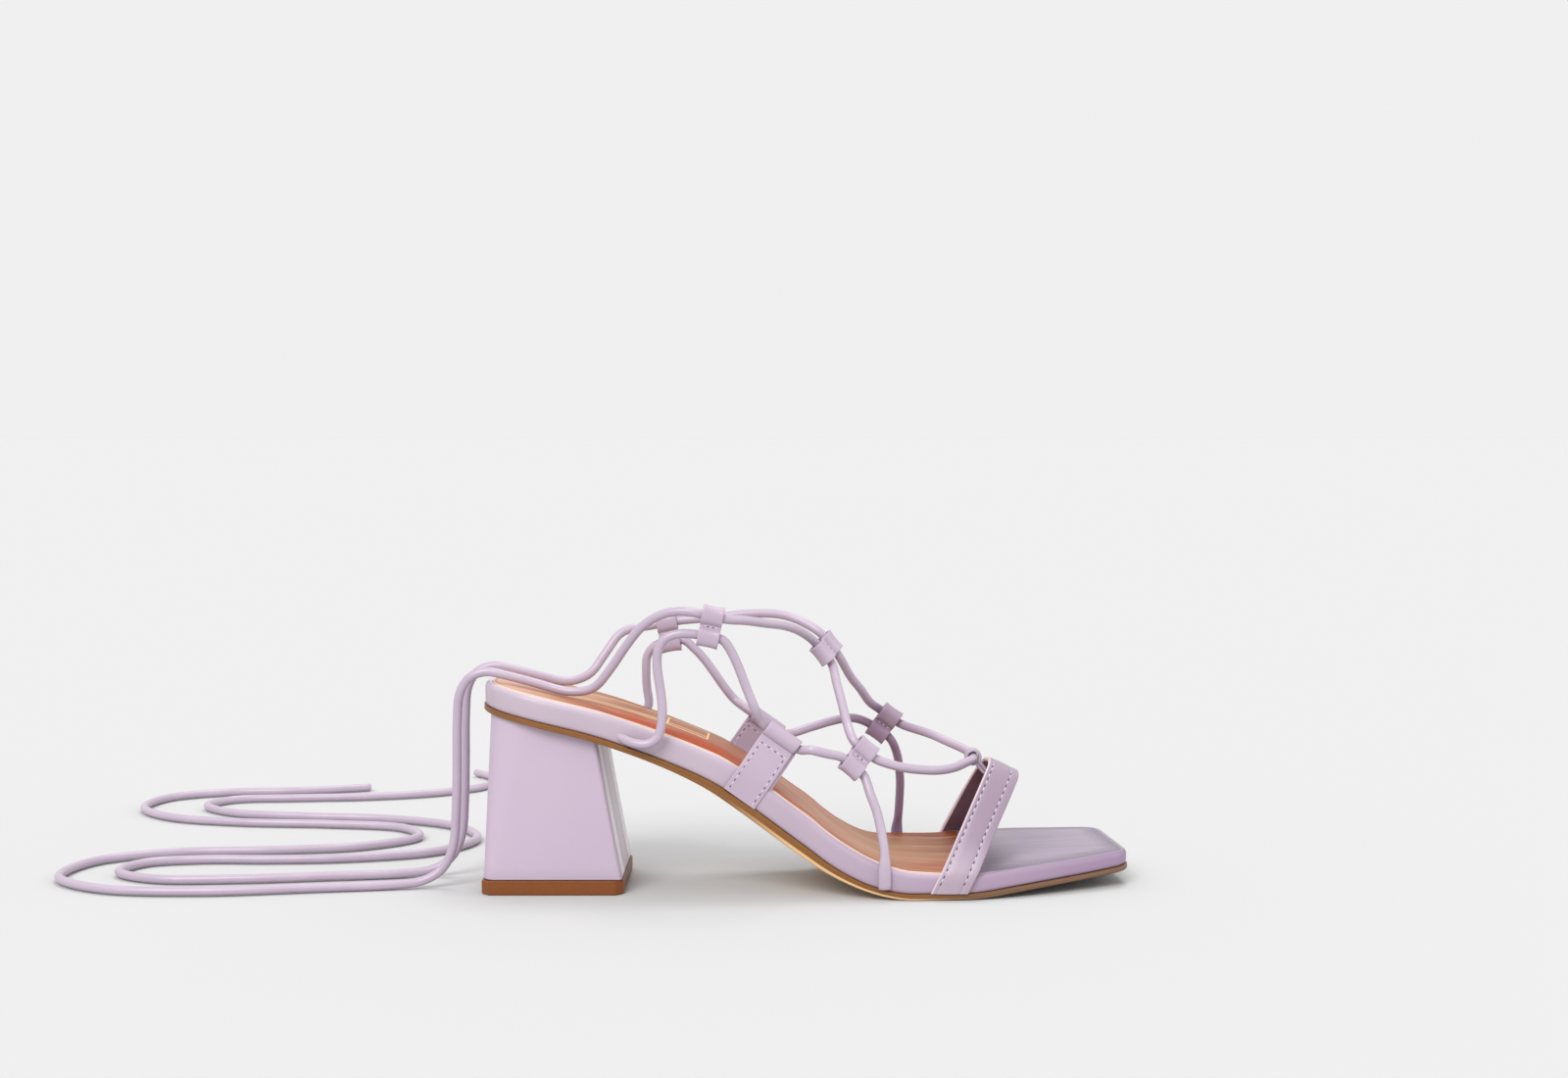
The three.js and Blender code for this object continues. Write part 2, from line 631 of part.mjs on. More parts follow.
function keeperSolid(keeper) {
  const { axis, across, through, at } = keeperFrame(keeper);
  const [wide, deep] = [KEEPER_LOBE / 2, KEEPER_DEPTH / 2];
  const pinch = Math.asin(KEEPER_WAIST / 2 / deep);
  const centre = KEEPER_SPREAD / 2;
  const shape = new THREE.Shape();
  shape.absellipse(centre, 0, wide, deep, Math.PI + pinch, 3 * Math.PI - pinch, false, 0);
  shape.absellipse(-centre, 0, wide, deep, pinch, 2 * Math.PI - pinch, false, 0);
  shape.closePath();
  for (const side of [-1, 1]) {
    const hole = new THREE.Path();
    hole.absellipse(side * centre, 0, wide - KEEPER_WALL, deep - KEEPER_WALL, 0, 2 * Math.PI, true, 0);
    shape.holes.push(hole);
  }
  return prism(shape, KEEPER_LENGTH, at, across, through, axis);
}

// Where a cord runs in a keeper: level 1 is its upper eye and -1 its lower, offset is along the cord
function inKeeper(name, level, offset) {
  const { axis, across, at } = keeperFrame(KEEPERS[name]);
  const point = at.clone().addScaledVector(across, (level * KEEPER_SPREAD) / 2);
  return point.addScaledVector(axis, offset).toArray();
}

const MOUTH = KEEPER_LENGTH / 2 + 1.2;
const TAB_MOUTH = TAB_WIDTH / 2 + 1;

function throughKeeper(name, level, way) {
  return [-MOUTH, 0, MOUTH].map((offset) => inKeeper(name, level, way * offset));
}

function throughTab(tab, way) {
  return [-TAB_MOUTH, 0, TAB_MOUTH].map((offset) => tabEye(tab, way * offset));
}

// The lace ends just behind the ankle keepers, where the ties go on
const LACE_END = KEEPER_LENGTH / 2 + 0.6;

// The loop sewn under the toe strap: it stands on end round the lace where the lace turns back
const TURN = [178.4, 8.5, 44.6];

const LACE_ROUTE = [
  inKeeper("ankle_ring_lateral", 1, -LACE_END),
  inKeeper("ankle_ring_lateral", 1, 0),
  inKeeper("ankle_ring_lateral", 1, MOUTH),
  [95.5, -20.6, 97.6],
  [102.8, -14.4, 96],
  [108.3, -9, 94.8],
  [113.6, -3.6, 92.6],
  ...throughKeeper("ring_front", -1, 1),
  [127.8, -0.8, 73.2],
  [129.6, -6.4, 66.4],
  [131.2, -12, 60.2],
  ...throughKeeper("ring_lateral", 1, 1),
  [150, -18.4, 45.2],
  [157.8, -14, 43.4],
  [165.3, -8, 42.3],
  [171.2, -2, 42.4],
  [175.4, 2.6, 43.4],
  [TURN[0] - 0.2, TURN[1] - 2.6, TURN[2] - 0.5],
  TURN,
  [TURN[0] - 0.3, TURN[1] + 2.6, TURN[2] + 0.5],
  [175.2, 14.6, 46.6],
  [170.2, 18.6, 48.4],
  [163.9, 23.6, 50.6],
  ...throughKeeper("ring_medial", 1, -1),
  [141, 27.4, 62.4],
  [137.4, 22.8, 67.8],
  [133.6, 18, 73],
  ...throughKeeper("ring_front", 1, -1),
  [115.4, 13.8, 94],
  [108.8, 16.6, 96.1],
  [102.5, 19, 96.6],
  [94.8, 21.4, 96.2],
  [86.4, 23.2, 95.2],
  [78, 24.6, 94.2],
  inKeeper("ankle_ring_medial", 1, MOUTH),
  inKeeper("ankle_ring_medial", 1, 0),
  inKeeper("ankle_ring_medial", 1, -LACE_END),
];

// A point on the outside of the sole's edge, so far outward and so far above the outsole
function onEdge(x, side, outward, height) {
  const edge = edgeAt(x, side);
  return [x, edge.y + side * outward, outsoleTopAt(edge.along) + height];
}

const LATERAL_FRONT = 144;
const MEDIAL_FRONT = 152.6;
const LATERAL_REAR = 62.6;
const MEDIAL_REAR = 60;

const SIDE_LATERAL_ROUTE = [
  onEdge(LATERAL_FRONT, -1, 0.7, 2 * GAP),
  onEdge(LATERAL_FRONT, -1, 0.9, 4.2),
  onEdge(LATERAL_FRONT, -1, 0.6, 8.2),
  [144, -30.4, 16.6],
  [143, -28.4, 23.5],
  [141.4, -26.2, 30.5],
  [139.2, -24.2, 36.4],
  ...throughKeeper("ring_lateral", -1, -1),
  [123.6, -22.6, 50.6],
  [118, -23.2, 52],
  ...throughTab(TABS.tab_lateral, -1),
  [98.2, -24.8, 67.5],
  [95.2, -24.4, 74.8],
  [92.4, -24.6, 82.2],
  [89.6, -25, 88],
  ...throughKeeper("ankle_ring_lateral", -1, -1),
  [71.4, -26, 93.4],
  [66.8, -26, 91.6],
  [64.4, -26, 87.2],
  [64.2, -26.2, 81.4],
  [65.2, -27, 74.6],
  [66, -28, 68],
  onEdge(LATERAL_REAR + 3, -1, 3.6, 12.4),
  onEdge(LATERAL_REAR + 1.8, -1, 3.8, 8.2),
  onEdge(LATERAL_REAR - 1.6, -1, 3.6, 4.6),
  onEdge(LATERAL_REAR - 6.4, -1, 2.4, 2.9),
  onEdge(LATERAL_REAR - 10, -1, 0.1, 2.7),
  onEdge(LATERAL_REAR - 13, -1, -2.6, 3.1),
];

const SIDE_MEDIAL_ROUTE = [
  onEdge(MEDIAL_FRONT, 1, 0.7, 2 * GAP),
  onEdge(MEDIAL_FRONT, 1, 0.9, 4.2),
  onEdge(MEDIAL_FRONT, 1, 0.5, 8.2),
  [153, 44.4, 16.4],
  [153.3, 42.4, 23],
  [153.4, 40.4, 30],
  [152.8, 38.6, 36.4],
  [151.8, 37, 41.6],
  ...throughKeeper("ring_medial", -1, -1),
  [134.4, 32, 55.6],
  [127, 29.4, 54.8],
  [119.6, 27, 53],
  ...throughTab(TABS.tab_medial, -1),
  [90.2, 24.2, 63.6],
  [86.4, 24.2, 68.2],
  [82.6, 24.4, 73.6],
  [78.6, 24.8, 79],
  [75, 25, 82.8],
  ...throughKeeper("ankle_ring_medial", -1, -1),
  [57.4, 25.4, 80.4],
  [56.8, 25.8, 74],
  [57, 26.6, 68],
  onEdge(MEDIAL_REAR - 2.4, 1, 3.2, 9.6),
  onEdge(MEDIAL_REAR - 4.4, 1, 3.2, 5.4),
  onEdge(MEDIAL_REAR - 8.2, 1, 2.2, 3.2),
  onEdge(MEDIAL_REAR - 11.8, 1, 0.1, 2.8),
  onEdge(MEDIAL_REAR - 14.8, 1, -2.6, 3.2),
];

// The ties: from the ankle keepers over the heel seat and its back rim, down to the floor, where
// they lie in loose bends beside each other. Their ends are bare.
const TIE_START = LACE_END + 2 * GAP;
const FLOOR = CORD_DIAMETER / 2 + GAP;

const TIE_LATERAL_ROUTE = [
  inKeeper("ankle_ring_lateral", 1, -TIE_START),
  inKeeper("ankle_ring_lateral", 1, -TIE_START - 3),
  [71.4, -24.6, 101.2],
  [65.6, -23.2, 100],
  [58.4, -20.8, 95.4],
  [52.4, -18.2, 88],
  [46.6, -15.6, 79.6],
  [40.2, -13, 72.6],
  [31.6, -11, 71.2],
  [20, -10, 74],
  [9, -10, 76.9],
  [1.6, -10, 78.2],
  [-4.4, -10, 76],
  [-7.8, -10, 70.4],
  [-8.8, -10, 60],
  [-9, -10, 44],
  [-9.4, -10.2, 28],
  [-10.6, -10.6, 15],
  [-14.4, -11.2, 7],
  [-21, -12.4, 3],
  [-31, -14.4, FLOOR],
  [-58, -19, FLOOR],
  [-98, -25, FLOOR],
  [-134, -21, FLOOR],
  [-156, -2, FLOOR],
  [-152, 26, FLOOR],
  [-126, 42, FLOOR],
  [-90, 46, FLOOR],
  [-56, 54, FLOOR],
  [-38, 72, FLOOR],
  [-48, 91, FLOOR],
  [-80, 99, FLOOR],
  [-118, 103, FLOOR],
  [-150, 114, FLOOR],
  [-168, 136, FLOOR],
  [-164, 160, FLOOR],
  [-142, 173, FLOOR],
  [-110, 177, FLOOR],
  [-80, 186, FLOOR],
];

const TIE_MEDIAL_ROUTE = [
  inKeeper("ankle_ring_medial", 1, -TIE_START),
  inKeeper("ankle_ring_medial", 1, -TIE_START - 3),
  [52.6, 23.4, 90.8],
  [47.4, 21.4, 88.8],
  [42, 18.2, 81.6],
  [36.6, 14.6, 74.6],
  [28.6, 11.4, 72.1],
  [19, 9.8, 74.3],
  [9, 9.4, 76.9],
  [1.6, 9.4, 78.2],
  [-4.4, 9.4, 76],
  [-7.8, 9.4, 70.4],
  [-8.8, 9.4, 60],
  [-9, 9.4, 44],
  [-9.4, 9.2, 28],
  [-10.6, 8.8, 15],
  [-14.4, 8, 7],
  [-21, 6.6, 3],
  [-31, 4.4, FLOOR],
  [-56, 0, FLOOR],
  [-90, -5, FLOOR],
  [-120, -5, FLOOR],
  [-137, 7, FLOOR],
  [-132, 23, FLOOR],
  [-112, 29, FLOOR],
  [-86, 29, FLOOR],
  [-56, 32, FLOOR],
  [-26, 44, FLOOR],
  [-14, 68, FLOOR],
  [-26, 94, FLOOR],
  [-56, 110, FLOOR],
  [-94, 116, FLOOR],
  [-126, 124, FLOOR],
  [-142, 141, FLOOR],
  [-134, 155, FLOOR],
  [-108, 159, FLOOR],
  [-74, 163, FLOOR],
  [-46, 173, FLOOR],
  [-28, 190, FLOOR],
  [-28, 212, FLOOR],
  [-38, 226, FLOOR],
];

// A cord: an eight-sided section along a smooth curve through its route
function cord(route, steps, spare) {
  const points = route.map((point) => new THREE.Vector3(...point));
  const curve = new THREE.CatmullRomCurve3(points, false, "centripetal");
  const sides = 8;
  const radius = CORD_DIAMETER / 2 + spare;
  const corners = [];
  for (let i = 0; i < sides; i += 1) {
    const angle = (2 * Math.PI * (i + 0.5)) / sides;
    corners.push(new THREE.Vector2(radius * Math.cos(angle), radius * Math.sin(angle)));
  }
  const options = { steps, extrudePath: curve, bevelEnabled: false };
  return new THREE.ExtrudeGeometry(new THREE.Shape(corners), options);
}

// A route drawn out at its start and its end, as a groove is that the cord then lies in
function lengthened(route, start, end) {
  const points = route.map((point) => new THREE.Vector3(...point));
  const last = points.length - 1;
  const before = points[0].clone().sub(points[1]).setLength(start);
  const after = points[last].clone().sub(points[last - 1]).setLength(end);
  const ends = [points[0].add(before).toArray(), points[last].add(after).toArray()];
  return [ends[0], ...route.slice(1, -1), ends[1]];
}

// The toe loop in side view: an eye round the lace and a tail sewn flat under the strap
function toeLoop() {
  const tilt = THREE.MathUtils.degToRad(STRAP_LEAN);
  const outer = TOE_LOOP_EYE + 2 * TOE_LOOP_WALL;
  const drop = STRAP_WALL + GAP + TOE_LOOP_WALL / 2;
  const tail = [[TOE_LOOP_TAIL, -drop], [outer * 0.75, -drop], [0, 0]];
  const shape = foldedStrip(tail, TOE_LOOP_WALL, outer, TOE_LOOP_EYE);
  const first = new THREE.Vector3(Math.cos(tilt), 0, -Math.sin(tilt));
  const second = new THREE.Vector3(Math.sin(tilt), 0, Math.cos(tilt));
  const third = first.clone().cross(second);
  return prism(shape, TOE_LOOP_WIDTH, new THREE.Vector3(...TURN), first, second, third);
}

// Solids for joins and cuts
function solidOf(geometry) {
  const bare = geometry.clone();
  bare.deleteAttribute("normal");
  bare.deleteAttribute("uv");
  const merged = mergeVertices(bare, 1e-4);
  return new wasm.Manifold(new wasm.Mesh({
    numProp: 3,
    vertProperties: new Float32Array(merged.attributes.position.array),
    triVerts: new Uint32Array(merged.index.array),
  }));
}

function geometryFrom(solid) {
  const mesh = solid.getMesh();
  const geometry = new THREE.BufferGeometry();
  geometry.setAttribute("position", new THREE.BufferAttribute(new Float32Array(mesh.vertProperties), 3));
  geometry.setIndex(new THREE.BufferAttribute(new Uint32Array(mesh.triVerts), 1));
  return geometry;
}

// The midsole, with a recess for the insole and pockets for what is lasted under its edge
function midsole() {
  const steps = 100;
  const cutters = [
    insoleSheet(GAP),
    toeStrap(GAP, OUTSOLE_THICKNESS),
    tabPocket(TABS.tab_lateral),
    tabPocket(TABS.tab_medial),
    cord(lengthened(SIDE_LATERAL_ROUTE, OUTSOLE_THICKNESS, CORD_GAP), steps, CORD_GAP),
    cord(lengthened(SIDE_MEDIAL_ROUTE, OUTSOLE_THICKNESS, CORD_GAP), steps, CORD_GAP),
  ];
  const uncut = solidOf(midsoleBody());
  return geometryFrom(cutters.reduce((body, cutter) => body.subtract(solidOf(cutter)), uncut));
}

const LILAC = { color: 0xc9b3cb, roughness: 0.42, metalness: 0 };
const LILAC_CORD = { color: 0xbfa9c1, roughness: 0.4, metalness: 0 };
const CARAMEL = { color: 0xc08a63, roughness: 0.5, metalness: 0 };
const RESIN_EDGE = { color: 0x94602f, roughness: 0.45, metalness: 0 };
const TIP_RUBBER = { color: 0x935c2e, roughness: 0.55, metalness: 0 };

const sandal = new THREE.Group();
const shoe = new THREE.Group();
const ties = new THREE.Group();

function add(group, name, geometry, finish) {
  geometry.computeVertexNormals();
  const mesh = new THREE.Mesh(geometry, new THREE.MeshStandardMaterial(finish));
  mesh.name = name;
  group.add(mesh);
}

add(shoe, "outsole", outsole(), RESIN_EDGE);
add(shoe, "midsole", midsole(), LILAC);
add(shoe, "insole", insoleSheet(0), CARAMEL);
add(shoe, "heel_block", heelBlock(), LILAC);
add(shoe, "heel_tip", heelTip(), TIP_RUBBER);
add(shoe, "toe_strap", toeStrap(0, 0), LILAC);
add(shoe, "toe_loop", toeLoop(), LILAC);
for (const [name, tab] of Object.entries(TABS)) {
  add(shoe, name, tabSolid(tab), LILAC);
}
for (const [name, keeper] of Object.entries(KEEPERS)) {
  add(shoe, name, keeperSolid(keeper), LILAC);
}
add(shoe, "lace", cord(LACE_ROUTE, 76, 0), LILAC_CORD);
add(shoe, "side_cord_lateral", cord(SIDE_LATERAL_ROUTE, 50, 0), LILAC_CORD);
add(shoe, "side_cord_medial", cord(SIDE_MEDIAL_ROUTE, 50, 0), LILAC_CORD);
add(ties, "tie_lateral", cord(TIE_LATERAL_ROUTE, 80, 0), LILAC_CORD);
add(ties, "tie_medial", cord(TIE_MEDIAL_ROUTE, 80, 0), LILAC_CORD);

// The origin is under the middle of the shoe itself, without its ties
const reach = new THREE.Box3().setFromObject(shoe);
const centre = reach.getCenter(new THREE.Vector3());
sandal.add(shoe, ties);
sandal.position.set(-centre.x, -centre.y, -reach.min.z);
sandal.updateMatrixWorld(true);

export default sandal;
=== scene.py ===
# %% [markdown]
# # A lace-up sandal on a block heel
#
# This lesson dresses a finished CAD model of a sandal: a moulded resin outsole, a wrapped midsole,
# a covered heel, and an upper that is nothing but a toe strap, two tabs and a net of round cords.
# The CAD model is loaded as a fixed frame. Each piece made here stands where its solid stands.

import math

import bmesh
import bpy
from mathutils import Matrix, Vector


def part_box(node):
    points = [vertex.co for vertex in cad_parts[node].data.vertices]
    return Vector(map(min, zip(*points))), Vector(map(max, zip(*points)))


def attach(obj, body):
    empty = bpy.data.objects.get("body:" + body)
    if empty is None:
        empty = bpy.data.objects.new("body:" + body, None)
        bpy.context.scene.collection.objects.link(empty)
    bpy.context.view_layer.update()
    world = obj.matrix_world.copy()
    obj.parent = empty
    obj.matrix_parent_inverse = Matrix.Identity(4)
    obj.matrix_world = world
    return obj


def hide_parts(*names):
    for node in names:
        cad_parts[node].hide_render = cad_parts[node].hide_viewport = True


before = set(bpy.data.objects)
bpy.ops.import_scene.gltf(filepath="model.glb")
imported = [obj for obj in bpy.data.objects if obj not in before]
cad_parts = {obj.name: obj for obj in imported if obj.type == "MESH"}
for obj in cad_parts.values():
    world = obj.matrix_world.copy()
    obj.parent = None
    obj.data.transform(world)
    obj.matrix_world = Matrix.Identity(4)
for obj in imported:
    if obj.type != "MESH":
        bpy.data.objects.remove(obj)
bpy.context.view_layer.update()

# %% [markdown]
# The shoe was drawn in millimetres from the back of its heel, with Y from the heel's middle towards
# the inner side of the foot. Two CAD boxes say where that frame lies, so every size below can stay
# in a shoemaker's millimetres.

# %% From the shoe's millimetres to the scene's metres
MM = 0.001
HEEL_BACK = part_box("outsole")[0][0]
HEEL_MIDDLE = (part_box("heel_tip")[0][1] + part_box("heel_tip")[1][1]) / 2


def placed(point):
    return Vector((HEEL_BACK + point[0] * MM, HEEL_MIDDLE + point[1] * MM, point[2] * MM))


def in_plan(place):
    """The millimetres along and aside of a place in the scene."""
    return (place.x - HEEL_BACK) / MM, (place.y - HEEL_MIDDLE) / MM


print("heel back at", round(HEEL_BACK, 4), "heel middle at", round(HEEL_MIDDLE, 4))

# %% [markdown]
# ## The camera
#
# The photograph looks across the shoe from its outer side and a little from above. The distance,
# the tilt and the focal length were fitted to the sole's edge, the heel and the keepers together.

# %% Camera
CAMERA_PLACE = (-0.008163, -0.74643, 0.1645)
CAMERA_TILT = 3.03
SENSOR_WIDTH, FOCAL_LENGTH = 36, 46.8

camera_data = bpy.data.cameras.new("camera")
camera_data.sensor_width = SENSOR_WIDTH
camera_data.lens = FOCAL_LENGTH
camera = bpy.data.objects.new("camera", camera_data)
camera.location = CAMERA_PLACE
camera.rotation_euler = (math.radians(90 - CAMERA_TILT), 0, 0)
bpy.context.scene.collection.objects.link(camera)
bpy.context.scene.camera = camera
print("camera at", CAMERA_PLACE, "looking down by", CAMERA_TILT, "degrees")

# %% [markdown]
# ## How every piece is skinned
#
# A cord, a folded strap and a heel have one thing in common: a ring of points that travels and
# changes as it goes. So one helper extrudes a ring through the places that it is given, which keeps
# the faces in neat rows. It also writes a UV map in real millimetres, once along and once around,
# so that stitches, seams and creases can be drawn at their true size.

# %% Skin a travelling ring
def skin(rings, shape, cyclic=False, ends=("fill", "fill"), finish=()):
    """Extrudes a first ring of points through the rest. finish gives each side of it a material."""
    uv = shape.loops.layers.uv.verify()
    count = len(rings[0])
    around = [0.0]
    for i in range(count):
        around.append(around[-1] + (rings[0][(i + 1) % count] - rings[0][i]).length)
    verts = [shape.verts.new(placed(point)) for point in rings[0]]
    edges = [shape.edges.new((verts[i], verts[(i + 1) % count])) for i in range(count)]
    first = (verts, edges)
    along = 0.0
    for before, after in zip(rings, rings[1:]):
        step = sum((b - a).length for a, b in zip(before, after)) / count
        made = bmesh.ops.extrude_edge_only(shape, edges=edges)["geom"]
        fresh = {item for item in made if isinstance(item, bmesh.types.BMVert)}
        moved = []
        for i, vert in enumerate(verts):
            partner = next(e.other_vert(vert) for e in vert.link_edges
                           if e.other_vert(vert) in fresh)
            partner.co = placed(after[i])
            moved.append(partner)
        place = {vert: (i, along) for i, vert in enumerate(verts)}
        place.update({vert: (i, along + step) for i, vert in enumerate(moved)})
        for face in (item for item in made if isinstance(item, bmesh.types.BMFace)):
            sides = {place[loop.vert][0] for loop in face.loops}
            last = sides == {0, count - 1}
            face.material_index = finish[count - 1 if last else min(sides)] if finish else 0
            for loop in face.loops:
                i, length = place[loop.vert]
                loop[uv].uv = (length, around[count] if last and i == 0 else around[i])
        verts = moved
        edges = [shape.edges.get((verts[i], verts[(i + 1) % count])) for i in range(count)]
        along += step
    if cyclic:
        bmesh.ops.bridge_loops(shape, edges=edges + first[1])
    else:
        for end, ring in zip(ends, (first[0], verts)):
            if end == "fill":
                shape.faces.new(ring)


def finished(name, shape, materials, smooth=40, replaced=()):
    """Closes a bmesh into an object that rides on the shoe and stands for its CAD nodes."""
    bmesh.ops.remove_doubles(shape, verts=shape.verts, dist=1e-7)
    bmesh.ops.recalc_face_normals(shape, faces=shape.faces)
    mesh = bpy.data.meshes.new(name)
    shape.to_mesh(mesh)
    shape.free()
    for material in materials:
        mesh.materials.append(material)
    mesh.shade_smooth()
    mesh.set_sharp_from_angle(angle=math.radians(smooth))
    piece = bpy.data.objects.new(name, mesh)
    bpy.context.scene.collection.objects.link(piece)
    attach(piece, "root")
    if replaced:
        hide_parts(*replaced)
    print(name, len(mesh.polygons), "faces")
    return piece


# %% [markdown]
# ## Nodes and colours
#
# Every material is built with one small function that adds a node with its settings and links.
# Colours are written as a screen shows them, in hex, and turned linear by another.

# %% Node and colour helpers
def linear(text):
    """An sRGB hex colour such as D2C3D6 as linear red, green, blue and alpha."""
    shares = [int(text[i:i + 2], 16) / 255 for i in (0, 2, 4)]
    return [s / 12.92 if s <= 0.04045 else ((s + 0.055) / 1.055) ** 2.4 for s in shares] + [1.0]


def add(tree, kind, inputs=(), **settings):
    """Adds a shader node. inputs is a row of values for its first sockets, or a table of them by
    name or number. A node or a socket is linked, a text is a hex colour, anything else is set."""
    made = tree.nodes.new("ShaderNode" + kind)
    for name, value in settings.items():
        setattr(made, name, value)
    for name, value in (inputs.items() if isinstance(inputs, dict) else enumerate(inputs)):
        if isinstance(value, bpy.types.Node):
            value = next(socket for socket in value.outputs if socket.enabled)
        if isinstance(value, bpy.types.NodeSocket):
            tree.links.new(value, made.inputs[name])
        else:
            made.inputs[name].default_value = linear(value) if isinstance(value, str) else value
    return made


def new_material(name):
    made = bpy.data.materials.new(name)
    made.use_nodes = True
    made.node_tree.nodes.clear()
    return made, made.node_tree


def shaded(tree, colour, rough, height, strength, distance, **constants):
    """The last nodes of every material here: a bump, one shader and the output."""
    bump = add(tree, "Bump", {"Height": height, "Strength": strength, "Distance": distance * MM})
    shader = add(tree, "BsdfPrincipled",
                 {"Base Color": colour, "Roughness": rough, "Normal": bump,
                  **{name.replace("_", " "): value for name, value in constants.items()}})
    add(tree, "OutputMaterial", {"Surface": shader})


# %% [markdown]
# ### Coated leather
#
# The lilac covering is a synthetic leather: a cloth with a pressed and coated face. It gives the
# eye a satin gleam, broad and soft, over a very fine pressed grain. The same skin is lighter over
# the midsole, a little deeper in colour on the straps, and rolled up small in the cords.

# %% Coated leather, pressed grain
GRAIN = 0.55


def cloudy(tree, light, dark, cloud, inner=None):
    """Two tones in slow clouds, and the place and the noise behind them. inner is a deeper tone,
    a painted shade, that the pieces over the inner side of the forefoot are given."""
    place = add(tree, "TexCoord").outputs["Object"]
    clouds = add(tree, "TexNoise", {"Vector": place, "Scale": 1 / (cloud * MM), "Detail": 3.0,
                                    "Roughness": 0.55})
    tone = add(tree, "Mix", {0: clouds, 6: dark, 7: light}, data_type="RGBA")
    # painted shade: a deeper tone over the inner side of the forefoot
    if inner:
        split = add(tree, "SeparateXYZ", (place,))
        start, side = placed((112, 20, 0)), placed((130, 34, 0))
        ahead = add(tree, "MapRange", (split, start.x, side.x, 0.0, 1.0))
        inward = add(tree, "MapRange", (split.outputs[1], start.y, side.y, 0.0, 1.0))
        both = add(tree, "Math", (ahead, inward), operation="MULTIPLY")
        tone = add(tree, "Mix", {0: both, 6: tone, 7: inner}, data_type="RGBA")
    return place, clouds, tone


def pressed_coat(tree, place, clouds, colour, rough, bump=0.035, groove=None):
    """The pressed grain and satin coat over a colour. A groove is a height that is taken away."""
    grain = add(tree, "TexVoronoi", {"Vector": place, "Scale": 1 / (GRAIN * MM)},
                feature="SMOOTH_F1")
    fine = add(tree, "TexNoise", {"Vector": place, "Scale": 1 / (1.7 * MM), "Detail": 4.0})
    height = add(tree, "Math", (grain, fine), operation="ADD")
    if groove:
        height = add(tree, "Math", (groove, -6.0, height), operation="MULTIPLY_ADD")
    gloss = add(tree, "MapRange", (clouds, 0.3, 0.7, rough - 0.05, rough + 0.05))
    shaded(tree, colour, gloss, height, 0.35, bump, Coat_Weight=0.16, Coat_Roughness=0.24,
           Specular_IOR_Level=0.45)


def coated_leather(name, light, dark, rough, cloud=28.0, inner=None, foot=None):
    """Lilac coated leather: cloudy colour, pressed grain, satin coat. foot is its tone low
    down, a painted highlight.
    """
    made, tree = new_material(name)
    place, clouds, tone = cloudy(tree, light, dark, cloud, inner)
    # painted highlight: a paler tone low down
    if foot:
        height = add(tree, "SeparateXYZ", (place,)).outputs[2]
        low = add(tree, "MapRange", (height, 10 * MM, 20 * MM, 0.9, 0.0))
        tone = add(tree, "Mix", {0: low, 6: tone, 7: foot}, data_type="RGBA")
    pressed_coat(tree, place, clouds, tone, rough)
    return made


# painted highlight: the strap is paler low down, where it bends onto the sole's wall
strap_leather = coated_leather("strap_coated_leather", "988597", "8E7B8D", 0.42, foot="A897A5")
# painted shade: over the inner side of the forefoot the tabs and keepers turn a deeper tone
band_leather = coated_leather("band_coated_leather", "B3A2B2", "A896A9", 0.42, inner="8A6F89")
print("lilac leathers ready")

# %% [markdown]
# ### Rolled cord
#
# Each cord is a strip of the same leather rolled round a string core and glued shut. The join runs
# along its underside as a fine line, and where the cord bends, the skin gathers in tiny creases
# across it. The tube's UV map runs along and around in millimetres, so both can be drawn on it.

# %% Rolled cord leather
CORD_DIAMETER = 3.3
CORD_AROUND = math.pi * CORD_DIAMETER


def rolled_leather(name, light, dark):
    """Cord leather: a join along it, small creases across it."""
    made, tree = new_material(name)
    uv = add(tree, "UVMap")
    # painted shade: over the inner side of the forefoot the cords turn a deeper tone
    _, _, tone = cloudy(tree, light, dark, 9.0, "846A82")
    split = add(tree, "SeparateXYZ", (uv,))
    stretched = add(tree, "Mapping", {"Vector": uv, "Scale": (1.0, 0.12, 1.0)})
    creases = add(tree, "TexNoise",
                  {"Vector": stretched, "Scale": 0.9, "Detail": 3.0, "Roughness": 0.6})
    aside = add(tree, "Math", (split.outputs[1], CORD_AROUND * 0.25), operation="SUBTRACT")
    near = add(tree, "Math", (aside,), operation="ABSOLUTE")
    join = add(tree, "MapRange", (near, 0.0, 0.3, 1.0, 0.0))
    lined = add(tree, "Math", (join, 0.35), operation="MULTIPLY")
    colour = add(tree, "Mix", {0: lined, 6: tone, 7: "6F5A72"}, data_type="RGBA")
    height = add(tree, "Math", (creases, join), operation="SUBTRACT")
    shaded(tree, colour, 0.38, height, 0.45, 0.16, Coat_Weight=0.3, Coat_Roughness=0.2,
           Specular_IOR_Level=0.45)
    return made


cord_leather = rolled_leather("rolled_cord_leather", "B5A6B5", "A796A9")
print("cord leather ready")

# %% [markdown]
# ## The cords
#
# The cords come first, because they decide how much room the shoe needs. Each one follows the same
# route as its CAD tube: a list of places that a smooth curve passes through. The keepers' and tabs'
# own places are named first, since three cords share them.

# %% Places that the cords pass
KEEPERS = {
    "ring_front": ((124.2, 8, 84.8), (0.62, 0.05, -0.78), (3, 6.7, 1.9)),
    "ring_lateral": ((135.2, -20, 48.6), (0.766, 0.05, -0.643), (4.8, 3, 6.7)),
    "ring_medial": ((146.8, 33.2, 53.4), (0.82, -0.05, -0.57), (5.1, -2.5, 4.9)),
    "ankle_ring_lateral": ((82.9, -25.5, 95.9), (0.975, 0, -0.2), (1.4, 0, 7.2)),
    "ankle_ring_medial": ((65.3, 25, 88.9), (0.985, 0, 0.17), (-0.17, 0, 0.985)),
}
KEEPER_LENGTH = 7.6
KEEPER_SPREAD = 7.4


